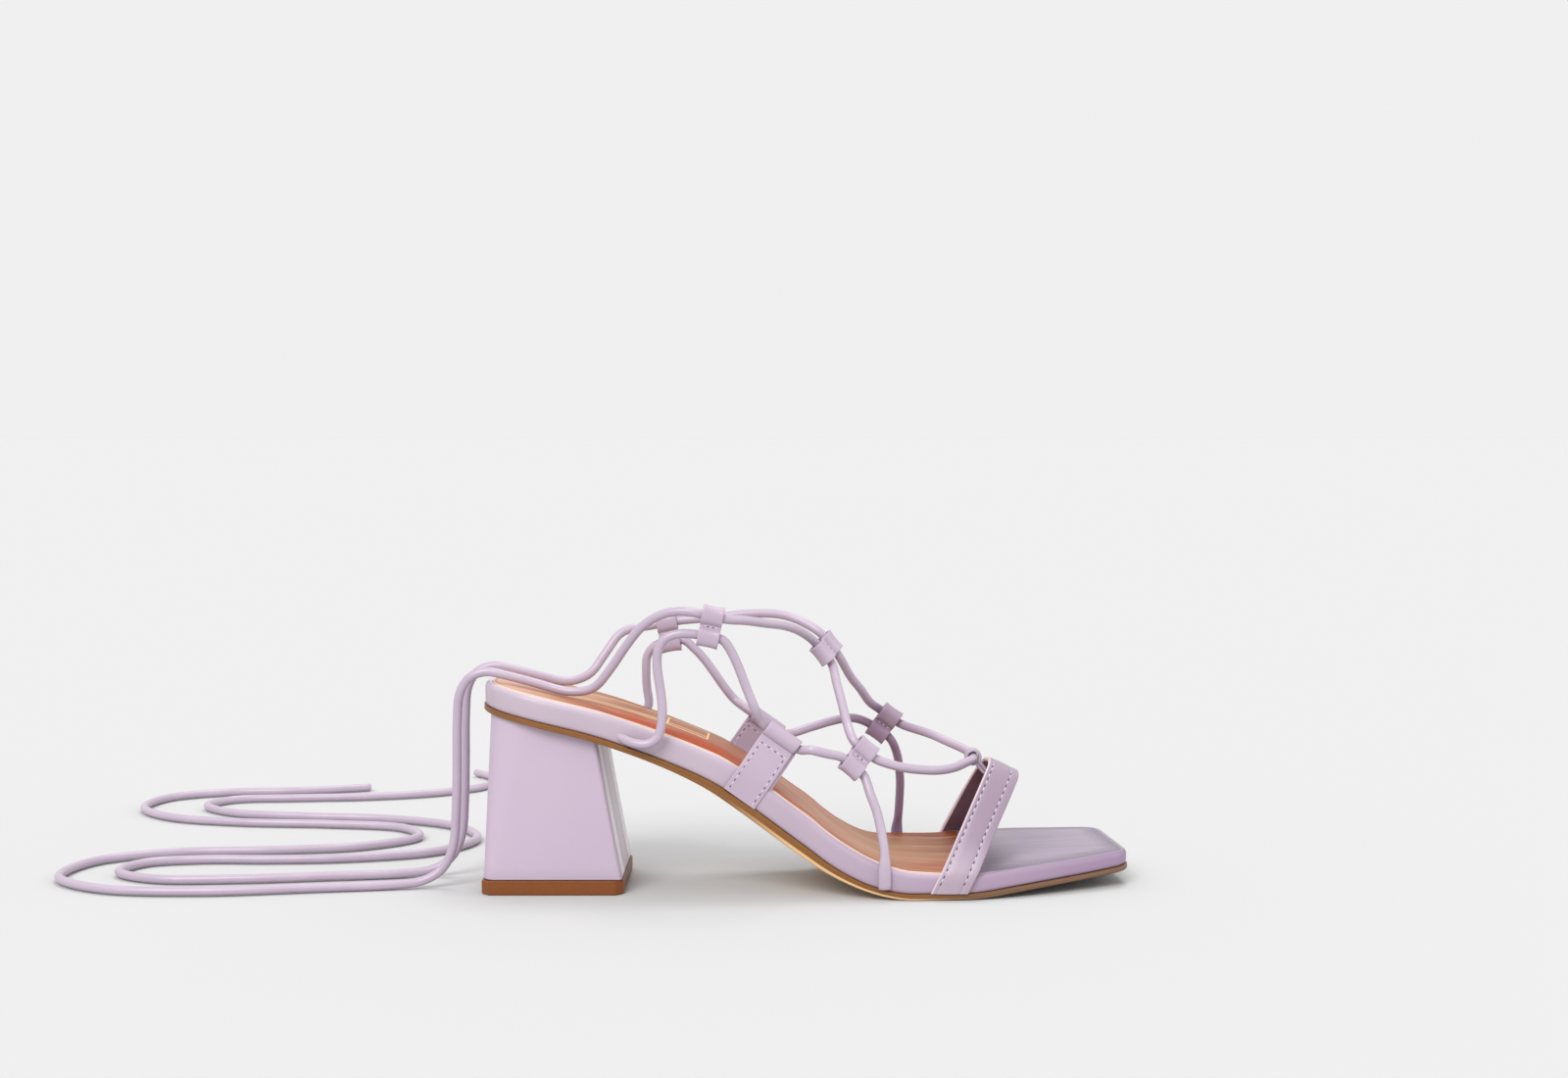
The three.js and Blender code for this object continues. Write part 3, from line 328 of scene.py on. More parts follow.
def keeper_frame(name):
    """A keeper's middle, the way its cords run, the way from lower cord to upper, and outward."""
    at, axis, across = (Vector(part) for part in KEEPERS[name])
    axis.normalize()
    across = (across - axis * across.dot(axis)).normalized()
    return at, axis, across, axis.cross(across)


def in_keeper(name, level, offset):
    at, axis, across, _ = keeper_frame(name)
    return at + across * (level * KEEPER_SPREAD / 2) + axis * offset


print("keepers", len(KEEPERS))

# %% [markdown]
# ## The sole's shape
#
# A sole is drawn as a last maker would: a plan of its widths, and a side profile of its heights.
# Both are short tables of sections at shares of the length, in shares of a few real sizes. A curve
# that never overshoots its rows reads them, so that every layer agrees about where the edge is.

# %% Plan and profile
SOLE_LENGTH = 232
BALL_WIDTH = 80
SEAT_WIDTH = 52
SEAT_ROUND = 27
SEAT_FULLNESS = 2.3
TOE_CORNER = 6
FOREFOOT_TURN = math.radians(5.8)
HEEL_HEIGHT = 64.4
TOE_SPRING = 5.9
OUTSOLE_THICKNESS = 2.1
MIDSOLE_THICKNESS = 8.4
INSOLE_CROWN = 1.8
GAP = 0.3

# along, swing towards the inner side, turn of the cross line, width in millimetres
PLAN = (
    (0.0, 0.0, 0, SEAT_WIDTH),
    (0.12, 0.0, 0, SEAT_WIDTH),
    (0.21, -0.008, 0, SEAT_WIDTH * 0.985),
    (0.35, -0.019, 0, SEAT_WIDTH * 0.904),
    (0.5, -0.026, 0, BALL_WIDTH * 0.63),
    (0.58, 0.01, 0.55, BALL_WIDTH * 0.78),
    (0.665, 0.0925, 1, BALL_WIDTH * 0.985),
    (0.73, 0.11, 1, BALL_WIDTH),
    (0.795, 0.13, 1, BALL_WIDTH * 0.96),
    (0.86, 0.15, 1, BALL_WIDTH * 0.87),
    (0.925, 0.17, 1, BALL_WIDTH * 0.745),
    (1.0, 0.19, 1, BALL_WIDTH * 0.577),
)
SWING, TURN_SHARE, WIDTH = 1, 2, 3

# along, rise in heel heights, toe spring, outsole, midsole, crown of the insole
TREAD_START = 0.6437
TREAD_END = 0.7304
PROFILE = (
    (0.0, 1.0, 0, 0.95, 0.98, 0),
    (0.05, 0.967, 0, 0.95, 0.99, 0),
    (0.112, 0.916, 0, 0.95, 0.99, 0),
    (0.172, 0.862, 0, 0.97, 0.99, 0.2),
    (0.232, 0.79, 0, 1.0, 0.99, 0.5),
    (0.293, 0.7, 0, 1.12, 0.99, 0.8),
    (0.351, 0.593, 0, 1.4, 1.0, 0.9),
    (0.396, 0.484, 0, 1.65, 1.02, 0.8),
    (0.441, 0.3665, 0, 1.8, 1.05, 0.6),
    (0.4705, 0.289, 0, 1.8, 1.06, 0.4),
    (0.5004, 0.2143, 0, 1.75, 1.08, 0.25),
    (0.53, 0.143, 0, 1.5, 1.08, 0.15),
    (0.56, 0.084, 0, 1.25, 1.08, 0.1),
    (0.5896, 0.04, 0, 1.08, 1.04, 0.05),
    (0.6195, 0.011, 0, 1.05, 0.96, 0),
    (TREAD_START, 0, 0, 1.05, 0.88, 0),
    (0.69, 0, 0, 1.05, 0.79, 0),
    (TREAD_END, 0, 0, 1.05, 0.77, 0),
    (0.7684, 0, 0.1, 1.05, 0.78, 0.1),
    (0.8, 0, 0.27, 1.0, 0.76, 0.2),
    (0.861, 0, 0.52, 0.95, 0.72, 0.3),
    (0.925, 0, 0.73, 0.9, 0.69, 0.3),
    (1.0, 0, 1.0, 0.85, 0.66, 0.2),
)
RISE, SPRING, OUTSOLE, MIDSOLE, CROWN = 1, 2, 3, 4, 5


def read(table, column, along):
    """A column of a table at a share of the length, on a curve that never overshoots its rows."""
    share = min(max(along, table[0][0]), table[-1][0])
    after = max(1, next(i for i, row in enumerate(table) if row[0] >= share))

    def secant(i):
        a, b = table[min(max(i, 0), len(table) - 2):][:2]
        return (b[column] - a[column]) / (b[0] - a[0])

    def tangent(i):
        left, right = secant(i - 1), secant(i)
        return 2 * left * right / (left + right) if left * right > 0 else 0

    low, high = table[after - 1], table[after]
    span = high[0] - low[0]
    t = (share - low[0]) / span
    lift = t * t * (3 - 2 * t)
    start = t * (1 - t) * (1 - t) * span * tangent(after - 1)
    end = t * t * (t - 1) * span * tangent(after)
    return low[column] + lift * (high[column] - low[column]) + start + end


def cross_line(along):
    """A cross line of the sole: its middle, its turn and half its width."""
    half = read(PLAN, WIDTH, along) / 2
    if along * SOLE_LENGTH < SEAT_ROUND:
        reach = 1 - max(along, 0) * SOLE_LENGTH / SEAT_ROUND
        half *= (1 - reach ** SEAT_FULLNESS) ** (1 / SEAT_FULLNESS)
    ahead = (1 - along) * SOLE_LENGTH
    if ahead < TOE_CORNER:
        half -= TOE_CORNER - math.sqrt(max(0, TOE_CORNER ** 2 - (TOE_CORNER - ahead) ** 2))
    turn = FOREFOOT_TURN * read(PLAN, TURN_SHARE, along)
    return along * SOLE_LENGTH, BALL_WIDTH * read(PLAN, SWING, along), turn, half


def plan_point(along, across):
    x, y, turn, _ = cross_line(along)
    return x - across * math.sin(turn), y + across * math.cos(turn)


def along_at(x, y):
    along = x / SOLE_LENGTH
    for _ in range(6):
        line = cross_line(along)
        along = (x + (y - line[1]) * math.tan(line[2])) / SOLE_LENGTH
    return along


def underside_at(along):
    return HEEL_HEIGHT * read(PROFILE, RISE, along) + TOE_SPRING * read(PROFILE, SPRING, along)


def slope_at(along):
    return math.atan2(underside_at(along - 0.01) - underside_at(along + 0.01), 0.02 * SOLE_LENGTH)


def outsole_top(along):
    thickness = OUTSOLE_THICKNESS * read(PROFILE, OUTSOLE, along)
    return underside_at(along) + thickness / math.cos(slope_at(along))


def midsole_top(along):
    thickness = MIDSOLE_THICKNESS * read(PROFILE, MIDSOLE, along)
    return outsole_top(along) + thickness / math.cos(slope_at(along))


def crown_at(x, y):
    along = along_at(x, y)
    _, middle, _, half = cross_line(along)
    across = min(max((y - middle) / max(half, 1), -1), 1)
    return INSOLE_CROWN * read(PROFILE, CROWN, along) * (1 - across * across)


def edge_at(x, side):
    """The share of the length whose edge is at x, and the edge's y."""
    along = x / SOLE_LENGTH
    for _ in range(6):
        line = cross_line(along)
        along = (x + side * line[3] * math.sin(line[2])) / SOLE_LENGTH
    return along, plan_point(along, side * cross_line(along)[3])[1]


def on_edge(x, side, outward, height):
    along, y = edge_at(x, side)
    return Vector((x, y + side * outward, outsole_top(along) + height))


print("heel", round(underside_at(0), 1), "mm up, ball", round(2 * cross_line(0.73)[3], 1),
      "mm wide")

# %% [markdown]
# The two tabs stand square to the sole's slope at its edge. Each is a folded strip whose fold, the
# eye, holds a side cord, so the cords' routes need the tabs' places first.

# %% Where the tabs stand
TABS = {
    "tab_lateral": {"side": -1, "foot": 92.7, "length": 26, "lean": 4.6},
    "tab_medial": {"side": 1, "foot": 89, "length": 22.4, "lean": 0.8},
}
TAB_WIDTH = 13.2
TAB_WALL = 2.2
TAB_PROUD = 0.7
TAB_MOUTH = TAB_WIDTH / 2 + 1
MOUTH = KEEPER_LENGTH / 2 + 1.2


def tab_frame(tab):
    """A tab's foot on the outsole, the way up it, the way out of it and the way across it."""
    along, y = edge_at(tab["foot"], tab["side"])
    slope = slope_at(along)
    up = Vector((math.sin(slope), 0, math.cos(slope)))
    out = Vector((0, tab["side"], 0))
    return Vector((tab["foot"], y, outsole_top(along))), up, out, up.cross(out)


def tab_path(tab, foot):
    face = TAB_PROUD - TAB_WALL / 2
    wall = MIDSOLE_THICKNESS
    return [(foot, face), (wall, face), (wall + 4, face - tab["lean"] * 0.15),
            (tab["length"], face - tab["lean"])]


def tab_eye(tab, offset):
    foot, up, out, _ = tab_frame(tab)
    slope = slope_at(edge_at(tab["foot"], tab["side"])[0])
    u, v = tab_path(tab, 0)[-1]
    eye = foot + up * u + out * v
    return eye + Vector((offset * math.cos(slope), 0, -offset * math.sin(slope)))


def through_keeper(name, level, way):
    return [in_keeper(name, level, way * offset) for offset in (-MOUTH, 0, MOUTH)]


def through_tab(name, way):
    return [tab_eye(TABS[name], way * offset) for offset in (-TAB_MOUTH, 0, TAB_MOUTH)]


print("tab eyes", [tuple(round(v, 1) for v in tab_eye(tab, 0)) for tab in TABS.values()])

# %% [markdown]
# A free cord keeps its real length, so its route is a list of given places joined by one smooth
# curve. The ties are long enough to wind up a leg. With no leg in the shoe they fall over its back
# and lie on the floor in loose bends, side by side.

# %% Routes of the cords
TOE_TURN = (178.4, 8.5, 44.6)
FLOOR = CORD_DIAMETER / 2 + GAP

LACE_ROUTE = [
    in_keeper("ankle_ring_lateral", 1, -1),
    in_keeper("ankle_ring_lateral", 1, MOUTH),
    (95.5, -20.6, 97.6), (102.8, -14.4, 96), (108.3, -9, 94.8), (113.6, -3.6, 92.6),
    *through_keeper("ring_front", -1, 1),
    (127.8, -0.8, 73.2), (129.6, -6.4, 66.4), (131.2, -12, 60.2),
    *through_keeper("ring_lateral", 1, 1),
    (150, -18.4, 45.2), (157.8, -14, 43.4), (165.3, -8, 42.3), (171.2, -2, 42.4),
    (175.4, 2.6, 43.4), (TOE_TURN[0] - 0.2, TOE_TURN[1] - 2.6, TOE_TURN[2] - 0.5),
    TOE_TURN,
    (TOE_TURN[0] - 0.3, TOE_TURN[1] + 2.6, TOE_TURN[2] + 0.5),
    (175.2, 14.6, 46.6), (170.2, 18.6, 48.4), (163.9, 23.6, 50.6),
    *through_keeper("ring_medial", 1, -1),
    (141, 27.4, 62.4), (137.4, 22.8, 67.8), (133.6, 18, 73),
    *through_keeper("ring_front", 1, -1),
    (115.4, 13.8, 94), (108.8, 16.6, 96.1), (102.5, 19, 96.6), (94.8, 21.4, 96.2),
    (86.4, 23.2, 95.2), (78, 24.6, 94.2),
    in_keeper("ankle_ring_medial", 1, MOUTH),
    in_keeper("ankle_ring_medial", 1, -1),
]

LATERAL_FRONT, LATERAL_REAR = 144, 62.6
SIDE_LATERAL_ROUTE = [
    on_edge(LATERAL_FRONT, -1, 0.7, 2 * GAP),
    on_edge(LATERAL_FRONT, -1, 0.9, 4.2),
    on_edge(LATERAL_FRONT, -1, 0.6, 8.2),
    (144, -30.4, 16.6), (143, -28.4, 23.5), (141.4, -26.2, 30.5), (139.2, -24.2, 36.4),
    *through_keeper("ring_lateral", -1, -1),
    (123.6, -22.6, 50.6), (118, -23.2, 52),
    *through_tab("tab_lateral", -1),
    (98.2, -24.8, 67.5), (95.2, -24.4, 74.8), (92.4, -24.6, 82.2), (89.6, -25, 88),
    *through_keeper("ankle_ring_lateral", -1, -1),
    (71.4, -26, 93.4), (66.8, -26, 91.6), (64.4, -26, 87.2), (64.2, -26.2, 81.4), (65.2, -27, 74.6),
    (66, -28, 68),
    on_edge(LATERAL_REAR + 3, -1, 3.6, 12.4),
    on_edge(LATERAL_REAR + 1.8, -1, 3.8, 8.2),
    on_edge(LATERAL_REAR - 1.6, -1, 3.6, 4.6),
    on_edge(LATERAL_REAR - 6.4, -1, 2.4, 2.9),
    on_edge(LATERAL_REAR - 10, -1, 0.1, 2.7),
    on_edge(LATERAL_REAR - 13, -1, -2.6, 3.1),
]

MEDIAL_FRONT, MEDIAL_REAR = 152.6, 60
SIDE_MEDIAL_ROUTE = [
    on_edge(MEDIAL_FRONT, 1, 0.7, 2 * GAP),
    on_edge(MEDIAL_FRONT, 1, 0.9, 4.2),
    on_edge(MEDIAL_FRONT, 1, 0.5, 8.2),
    (153, 44.4, 16.4), (153.3, 42.4, 23), (153.4, 40.4, 30), (152.8, 38.6, 36.4), (151.8, 37, 41.6),
    *through_keeper("ring_medial", -1, -1),
    (134.4, 32, 55.6), (127, 29.4, 54.8), (119.6, 27, 53),
    *through_tab("tab_medial", -1),
    (90.2, 24.2, 63.6), (86.4, 24.2, 68.2), (82.6, 24.4, 73.6), (78.6, 24.8, 79), (75, 25, 82.8),
    *through_keeper("ankle_ring_medial", -1, -1),
    (57.4, 25.4, 80.4), (56.8, 25.8, 74), (57, 26.6, 68),
    on_edge(MEDIAL_REAR - 2.4, 1, 3.2, 9.6),
    on_edge(MEDIAL_REAR - 4.4, 1, 3.2, 5.4),
    on_edge(MEDIAL_REAR - 8.2, 1, 2.2, 3.2),
    on_edge(MEDIAL_REAR - 11.8, 1, 0.1, 2.8),
    on_edge(MEDIAL_REAR - 14.8, 1, -2.6, 3.2),
]

TIE_START = 5
TIE_LATERAL_ROUTE = [
    in_keeper("ankle_ring_lateral", 1, -1.4),
    in_keeper("ankle_ring_lateral", 1, -TIE_START),
    in_keeper("ankle_ring_lateral", 1, -TIE_START - 3),
    (71.4, -24.6, 101.2), (65.6, -23.2, 100), (58.4, -20.8, 95.4), (52.4, -18.2, 88),
    (46.6, -15.6, 79.6), (40.2, -13, 72.6), (31.6, -11, 71.2), (20, -10, 74), (9, -10, 76.9),
    (1.6, -10, 78.2), (-4.4, -10, 76), (-7.8, -10, 70.4), (-8.8, -10, 60), (-9, -10, 44),
    (-9.4, -10.2, 28), (-10.6, -10.6, 15), (-14.4, -11.2, 7), (-21, -12.4, 3),
    *((x, y, FLOOR) for x, y in (
        (-31, -14.4), (-58, -19), (-98, -25), (-134, -21), (-156, -2), (-152, 26), (-126, 42),
        (-90, 46), (-56, 54), (-38, 72), (-48, 91), (-80, 99), (-118, 103), (-150, 114),
        (-168, 136), (-164, 160), (-142, 173), (-110, 177), (-80, 186))),
]

TIE_MEDIAL_ROUTE = [
    in_keeper("ankle_ring_medial", 1, -1.4),
    in_keeper("ankle_ring_medial", 1, -TIE_START),
    in_keeper("ankle_ring_medial", 1, -TIE_START - 3),
    (52.6, 23.4, 90.8), (47.4, 21.4, 88.8), (42, 18.2, 81.6), (36.6, 14.6, 74.6),
    (28.6, 11.4, 72.1), (19, 9.8, 74.3), (9, 9.4, 76.9), (1.6, 9.4, 78.2), (-4.4, 9.4, 76),
    (-7.8, 9.4, 70.4), (-8.8, 9.4, 60), (-9, 9.4, 44), (-9.4, 9.2, 28), (-10.6, 8.8, 15),
    (-14.4, 8, 7), (-21, 6.6, 3),
    *((x, y, FLOOR) for x, y in (
        (-31, 4.4), (-56, 0), (-90, -5), (-120, -5), (-137, 7), (-132, 23), (-112, 29), (-86, 29),
        (-56, 32), (-26, 44), (-14, 68), (-26, 94), (-56, 110), (-94, 116), (-126, 124),
        (-142, 141), (-134, 155), (-108, 159), (-74, 163), (-46, 173), (-28, 190), (-28, 212),
        (-38, 226))),
]
print("routes ready")

# %% [markdown]
# A tube is a small circle that travels along the curve. The circle is carried from place to place
# without twist, so that the cord's glued join stays on one side. A cord that is lasted under the
# sole's edge is pressed flat there, and a bare end is cut square with its skin turned in a little.

# %% Tubes along the routes
def curve_places(route, steps=16):
    """Places on the smooth curve through a route, so many to each stretch of it."""
    given = [Vector(point) for point in route]
    given = [2 * given[0] - given[1], *given, 2 * given[-1] - given[-2]]
    fine = []
    for p0, p1, p2, p3 in zip(given, given[1:], given[2:], given[3:]):
        d0, d1, d2 = ((b - a).length ** 0.5 for a, b in ((p0, p1), (p1, p2), (p2, p3)))
        t1 = ((p1 - p0) / d0 - (p2 - p0) / (d0 + d1) + (p2 - p1) / d1) * d1
        t2 = ((p2 - p1) / d1 - (p3 - p1) / (d1 + d2) + (p3 - p2) / d2) * d1
        for step in range(steps):
            t = step / steps
            fine.append(p1 + t1 * t + (3 * (p2 - p1) - 2 * t1 - t2) * t * t
                        + (2 * (p1 - p2) + t1 + t2) * t ** 3)
    return [*fine, given[-2]]


def smooth_route(route, spacing):
    """Evenly spaced places on the smooth curve through a route, and its length."""
    fine = curve_places(route)
    length = sum((b - a).length for a, b in zip(fine, fine[1:]))
    count = max(2, round(length / spacing))
    places, walked, step = [fine[0]], 0.0, length / count
    for a, b in zip(fine, fine[1:]):
        piece = (b - a).length
        while len(places) < count and walked + piece >= step * len(places):
            places.append(a.lerp(b, (step * len(places) - walked) / piece))
        walked += piece
    places.append(fine[-1])
    return places, length


def carried_frames(places, under):
    """A tangent and two cross directions at each place, carried along without twist."""
    frames = []
    second = Vector(under)
    for i, place in enumerate(places):
        tangent = (places[min(i + 1, len(places) - 1)] - places[max(i - 1, 0)]).normalized()
        second = (second - tangent * second.dot(tangent)).normalized()
        frames.append((place, tangent.cross(second), second))
    return frames


CORD_SIDES = 14
TURNED_IN, CUT_FACE = 0.3, 0.8


def tube(name, route, spacing, replaced, under=(0, 0, -1), pressed=None):
    """A cord's piece along a route, its places and its length in millimetres."""
    places, length = smooth_route(route, spacing)
    radius = CORD_DIAMETER / 2
    rings = []
    for i, (place, first, second) in enumerate(carried_frames(places, under)):
        walked = length * i / (len(places) - 1)
        wide, deep = pressed(walked) if pressed else (1, 1)
        rings.append([place + first * (radius * wide * math.cos(a))
                      + second * (radius * deep * math.sin(a))
                      for a in (2 * math.pi * k / CORD_SIDES for k in range(CORD_SIDES))])
    for end in (0, -1):
        middle = places[end]
        inward = (places[1] - places[0] if end == 0 else places[-2] - places[-1]).normalized()
        cap = [middle.lerp(point, CUT_FACE) for point in rings[end]]
        rings[end] = [point + inward * TURNED_IN for point in rings[end]]
        rings = [cap, *rings] if end == 0 else [*rings, cap]
    shape = bmesh.new()
    skin(rings, shape)
    piece = finished(name, shape, [cord_leather], 60, replaced)
    return piece, places, length


def pressed_at_start(reach, wide, deep):
    def press(walked):
        t = min(1.0, 1.5 * max(0.0, 1 - walked / reach))
        t = t * t * (3 - 2 * t)
        return 1 + (wide - 1) * t, 1 + (deep - 1) * t
    return press


NET_STEP, TIE_STEP = 1.4, 2.2
lasted = pressed_at_start(14, 1.4, 0.62)
tube("lace_cord", LACE_ROUTE, NET_STEP, ["lace"])
tube("side_cord_outer", SIDE_LATERAL_ROUTE, NET_STEP, ["side_cord_lateral"], (0, 1, 0), lasted)
tube("side_cord_inner", SIDE_MEDIAL_ROUTE, NET_STEP, ["side_cord_medial"], (0, -1, 0), lasted)
for name, route, node in (("tie_cord_outer", TIE_LATERAL_ROUTE, "tie_lateral"),
                          ("tie_cord_inner", TIE_MEDIAL_ROUTE, "tie_medial")):
    piece, places, length = tube(name, route, TIE_STEP, [node])
    print(name, round(length), "mm long")

# %% [markdown]
# ## The sole, layer on layer
#
# Outsole, midsole and insole share one outline. Each starts as a flat grid of rows and columns that
# is laid out on the plan and lifted to its height. Its border is then extruded down the side wall,
# drawn in or out a little at each level, and a second grid closes the underside.

# %% Rows of the sole and its outline
def sole_rows(until=1.0):
    """Places along the sole, close together round the seat and at the toe corners."""
    seat, corner = SEAT_ROUND / SOLE_LENGTH, TOE_CORNER / SOLE_LENGTH
    rows = [seat * (1 - math.cos(math.pi / 2 * i / 14)) for i in range(1, 15)]
    for start, end, count in ((seat, TREAD_START, 44), (TREAD_START, TREAD_END, 6),
                              (TREAD_END, 1 - corner, 20)):
        rows += [start + (end - start) * i / count for i in range(1, count + 1)]
    rows += [1 - corner * (1 - math.sin(math.pi / 2 * i / 6)) for i in range(1, 7)]
    return [row for row in rows if row < until - 0.004] + [until] if until < 1 else rows


def sole_outline(rows, columns):
    """The outline in plan, one point per border vertex of the grid, and the way in at each."""
    last = len(rows) - 1
    loop = [(row, 0) for row in range(last + 1)] + [(last, column) for column in range(1, columns)]
    loop += [(row, columns) for row in range(last, -1, -1)]
    loop += [(0, column) for column in range(columns - 1, 0, -1)]
    points = []
    for row, column in loop:
        _, middle, _, half = cross_line(rows[row])
        across = half * (2 * column / columns - 1)
        if row > 0:
            points.append(Vector(plan_point(rows[row], across)))
        else:
            reach = (1 - abs(across / (SEAT_WIDTH / 2)) ** SEAT_FULLNESS) ** (1 / SEAT_FULLNESS)
            points.append(Vector((SEAT_ROUND * (1 - reach), middle + across)))
    inward = []
    for i, point in enumerate(points):
        enter = (point - points[i - 1]).normalized()
        leave = (points[(i + 1) % len(points)] - point).normalized()
        normal = Vector((-enter.y - leave.y, enter.x + leave.x)).normalized()
        inward.append(normal / max(0.5, normal.dot(Vector((-enter.y, enter.x)))))
    return loop, points, inward


def sole_layer(levels, columns=20, until=1.0, crowned=()):
    """A bmesh from levels of (inset, height), each a number or a function of the place, the first
    level uppermost. Crowned levels bulge."""
    rows = sole_rows(until)
    last = len(rows) - 1
    loop, outline, inward = sole_outline(rows, columns)
    rings = []
    for inset, height in levels:
        flat = [point + way * (inset(point) if callable(inset) else inset)
                for point, way in zip(outline, inward)]
        rings.append([Vector((p.x, p.y, height(p.x, p.y))) for p in flat])
    shape = bmesh.new()
    skin(rings, shape, ends=("open", "open"))
    uv = shape.loops.layers.uv.verify()
    for k in (0, len(levels) - 1):
        border = {place: rings[k][i] for i, place in enumerate(loop)}
        made = bmesh.ops.create_grid(shape, x_segments=last, y_segments=columns, size=1)["verts"]
        place_of = {}
        for vert in made:
            row, column = round((vert.co.x + 1) / 2 * last), round((vert.co.y + 1) / 2 * columns)
            place_of[vert] = (row, column)
            if (row, column) in border:
                vert.co = placed(border[row, column])
            else:
                x, y = (border[row, 0].lerp(border[row, columns], column / columns)).xy
                bulge = crown_at(x, y) if k in crowned else 0
                vert.co = placed((x, y, levels[k][1](x, y) + bulge))
        for face in {face for vert in made for face in vert.link_faces}:
            for corner in face.loops:
                row, column = place_of[corner.vert]
                across = (2 * column / columns - 1) * cross_line(rows[row])[3]
                corner[uv].uv = (rows[row] * SOLE_LENGTH, across)
    bmesh.ops.remove_doubles(shape, verts=shape.verts, dist=2e-6)
    return shape


def over(height, offset=0.0):
    return lambda x, y: height(along_at(x, y)) + offset


def charted(shape):
    """Writes at each vertex its share of the length, and its millimetres across and inward."""
    layers = [shape.verts.layers.float.new(name)
              for name in ("sole_along", "sole_across", "sole_inward")]
    for vert in shape.verts:
        x, y = in_plan(vert.co)
        along = along_at(x, y)
        _, middle, turn, half = cross_line(along)
        across = (y - middle) / math.cos(turn)
        inward = min(half - abs(across), (1 - along) * SOLE_LENGTH)
        if x < SEAT_ROUND:
            full = read(PLAN, WIDTH, along) / 2
            reach = max(0, 1 - x / SEAT_ROUND) ** SEAT_FULLNESS
            reach += abs(across / full) ** SEAT_FULLNESS
            inward = (1 - reach ** (1 / SEAT_FULLNESS)) * full
        for layer, value in zip(layers, (along, across, inward)):
            vert[layer] = value
    return shape


print(len(sole_rows()), "rows")

# %% [markdown]
# ### The outsole
#
# A thin sheet of moulded resin rubber, cut to the last and polished at its edge. The edge shows two
# tones: the dark cut face above, and a paler line below where the tread's skin begins. The height
# up that edge is kept as an attribute of each vertex, which the material turns into the two tones.

# %% Resin rubber, moulded, polished edge
def resin_rubber(name, dark, light, pale=None, far=None):
    """Brown resin rubber. pale is its lower line at the waist, far a painted shade at the toe."""
    made, tree = new_material(name)
    place = add(tree, "TexCoord").outputs["Object"]
    streaks = add(tree, "Mapping", {"Vector": place, "Scale": (1.0, 1.0, 6.0)})
    grain = add(tree, "TexNoise", {"Vector": streaks, "Scale": 1 / (4 * MM), "Detail": 4.0})
    colour = add(tree, "Mix", {0: grain, 6: dark, 7: light}, data_type="RGBA")
    if pale:
        height = add(tree, "Attribute", attribute_name="up_the_edge").outputs["Fac"]
        along = add(tree, "Attribute", attribute_name="sole_along").outputs["Fac"]
        # painted shade: towards the toe the edge turns a greyer, duller brown
        toe = add(tree, "MapRange", (along, 0.6, 0.8, 0.0, 1.0))
        colour = add(tree, "Mix", {0: toe, 6: colour, 7: far}, data_type="RGBA")
        low = add(tree, "MapRange", (height, 0.3, 0.42, 1.0, 0.0))
        come = add(tree, "MapRange", (along, 0.38, 0.48, 0.0, 0.92))
        leave = add(tree, "MapRange", (along, 0.6, 0.7, 1.0, 0.15))
        waist = add(tree, "Math", (come, leave), operation="MULTIPLY")
        line = add(tree, "Math", (waist, low), operation="MULTIPLY")
        colour = add(tree, "Mix", {0: line, 6: colour, 7: pale}, data_type="RGBA")
        # painted shadow: below the ball the edge is dark where it turns under, close to the floor
        low_on_edge = add(tree, "MapRange", (height, 0.2, 0.45, 0.8, 0.0))
        ball = add(tree, "MapRange", (along, 0.66, 0.74, 0.0, 1.0))
        contact_shadow = add(tree, "Math", (low_on_edge, ball), operation="MULTIPLY")
        colour = add(tree, "Mix", {0: contact_shadow, 6: colour, 7: "3A2617"}, data_type="RGBA")
    shaded(tree, colour, 0.42, grain, 0.3, 0.05, Specular_IOR_Level=0.4)
    return made


outsole_rubber = resin_rubber("outsole_resin_rubber", "74491F", "8C5C2C", "DDB787", "785841")
EDGE_LEVELS = ((0.28, 1.0), (0.0, 0.94), (0.0, 0.5), (0.12, 0.42), (0.0, 0.34), (0.0, 0.16),
               (0.18, 0.05), (0.5, 0.0))


def between(low, high, share):
    return lambda x, y: low(x, y) + share * (high(x, y) - low(x, y))


shape = charted(sole_layer([(inset, between(over(underside_at), over(outsole_top), share))
                            for inset, share in EDGE_LEVELS], 14))
rise = shape.verts.layers.float.new("up_the_edge")
for vert in shape.verts:
    x, y = in_plan(vert.co)
    along = along_at(x, y)
    low, high = underside_at(along), outsole_top(along)
    vert[rise] = (vert.co.z / MM - low) / (high - low)
finished("outsole_edge", shape, [outsole_rubber], 35, ["outsole"])

# %% [markdown]
# ### The midsole
#
# A board, a shank and a cushion are wrapped in one sheet of lilac leather that is drawn over the
# rim and lasted under the edge. So its side wall swells a little, its upper rim is a soft roll, and
# ahead of the toe strap its top shows as a smooth platform.

# %% Midsole wrapped in leather
midsole_leather, tree = new_material("midsole_coated_leather")
place, clouds, tone = cloudy(tree, "B7A8B4", "AD9CAB", 28.0)
along = add(tree, "Attribute", attribute_name="sole_along").outputs["Fac"]
inward = add(tree, "Attribute", attribute_name="sole_inward").outputs["Fac"]
# painted shade: the lilac grows deeper towards the toe, where the light falls off
toe_falloff = add(tree, "MapRange", (along, 0.35, 1.0, 0.0, 1.0))
toe_shaded = add(tree, "Mix", {0: toe_falloff, 6: tone, 7: "937996"}, data_type="RGBA")
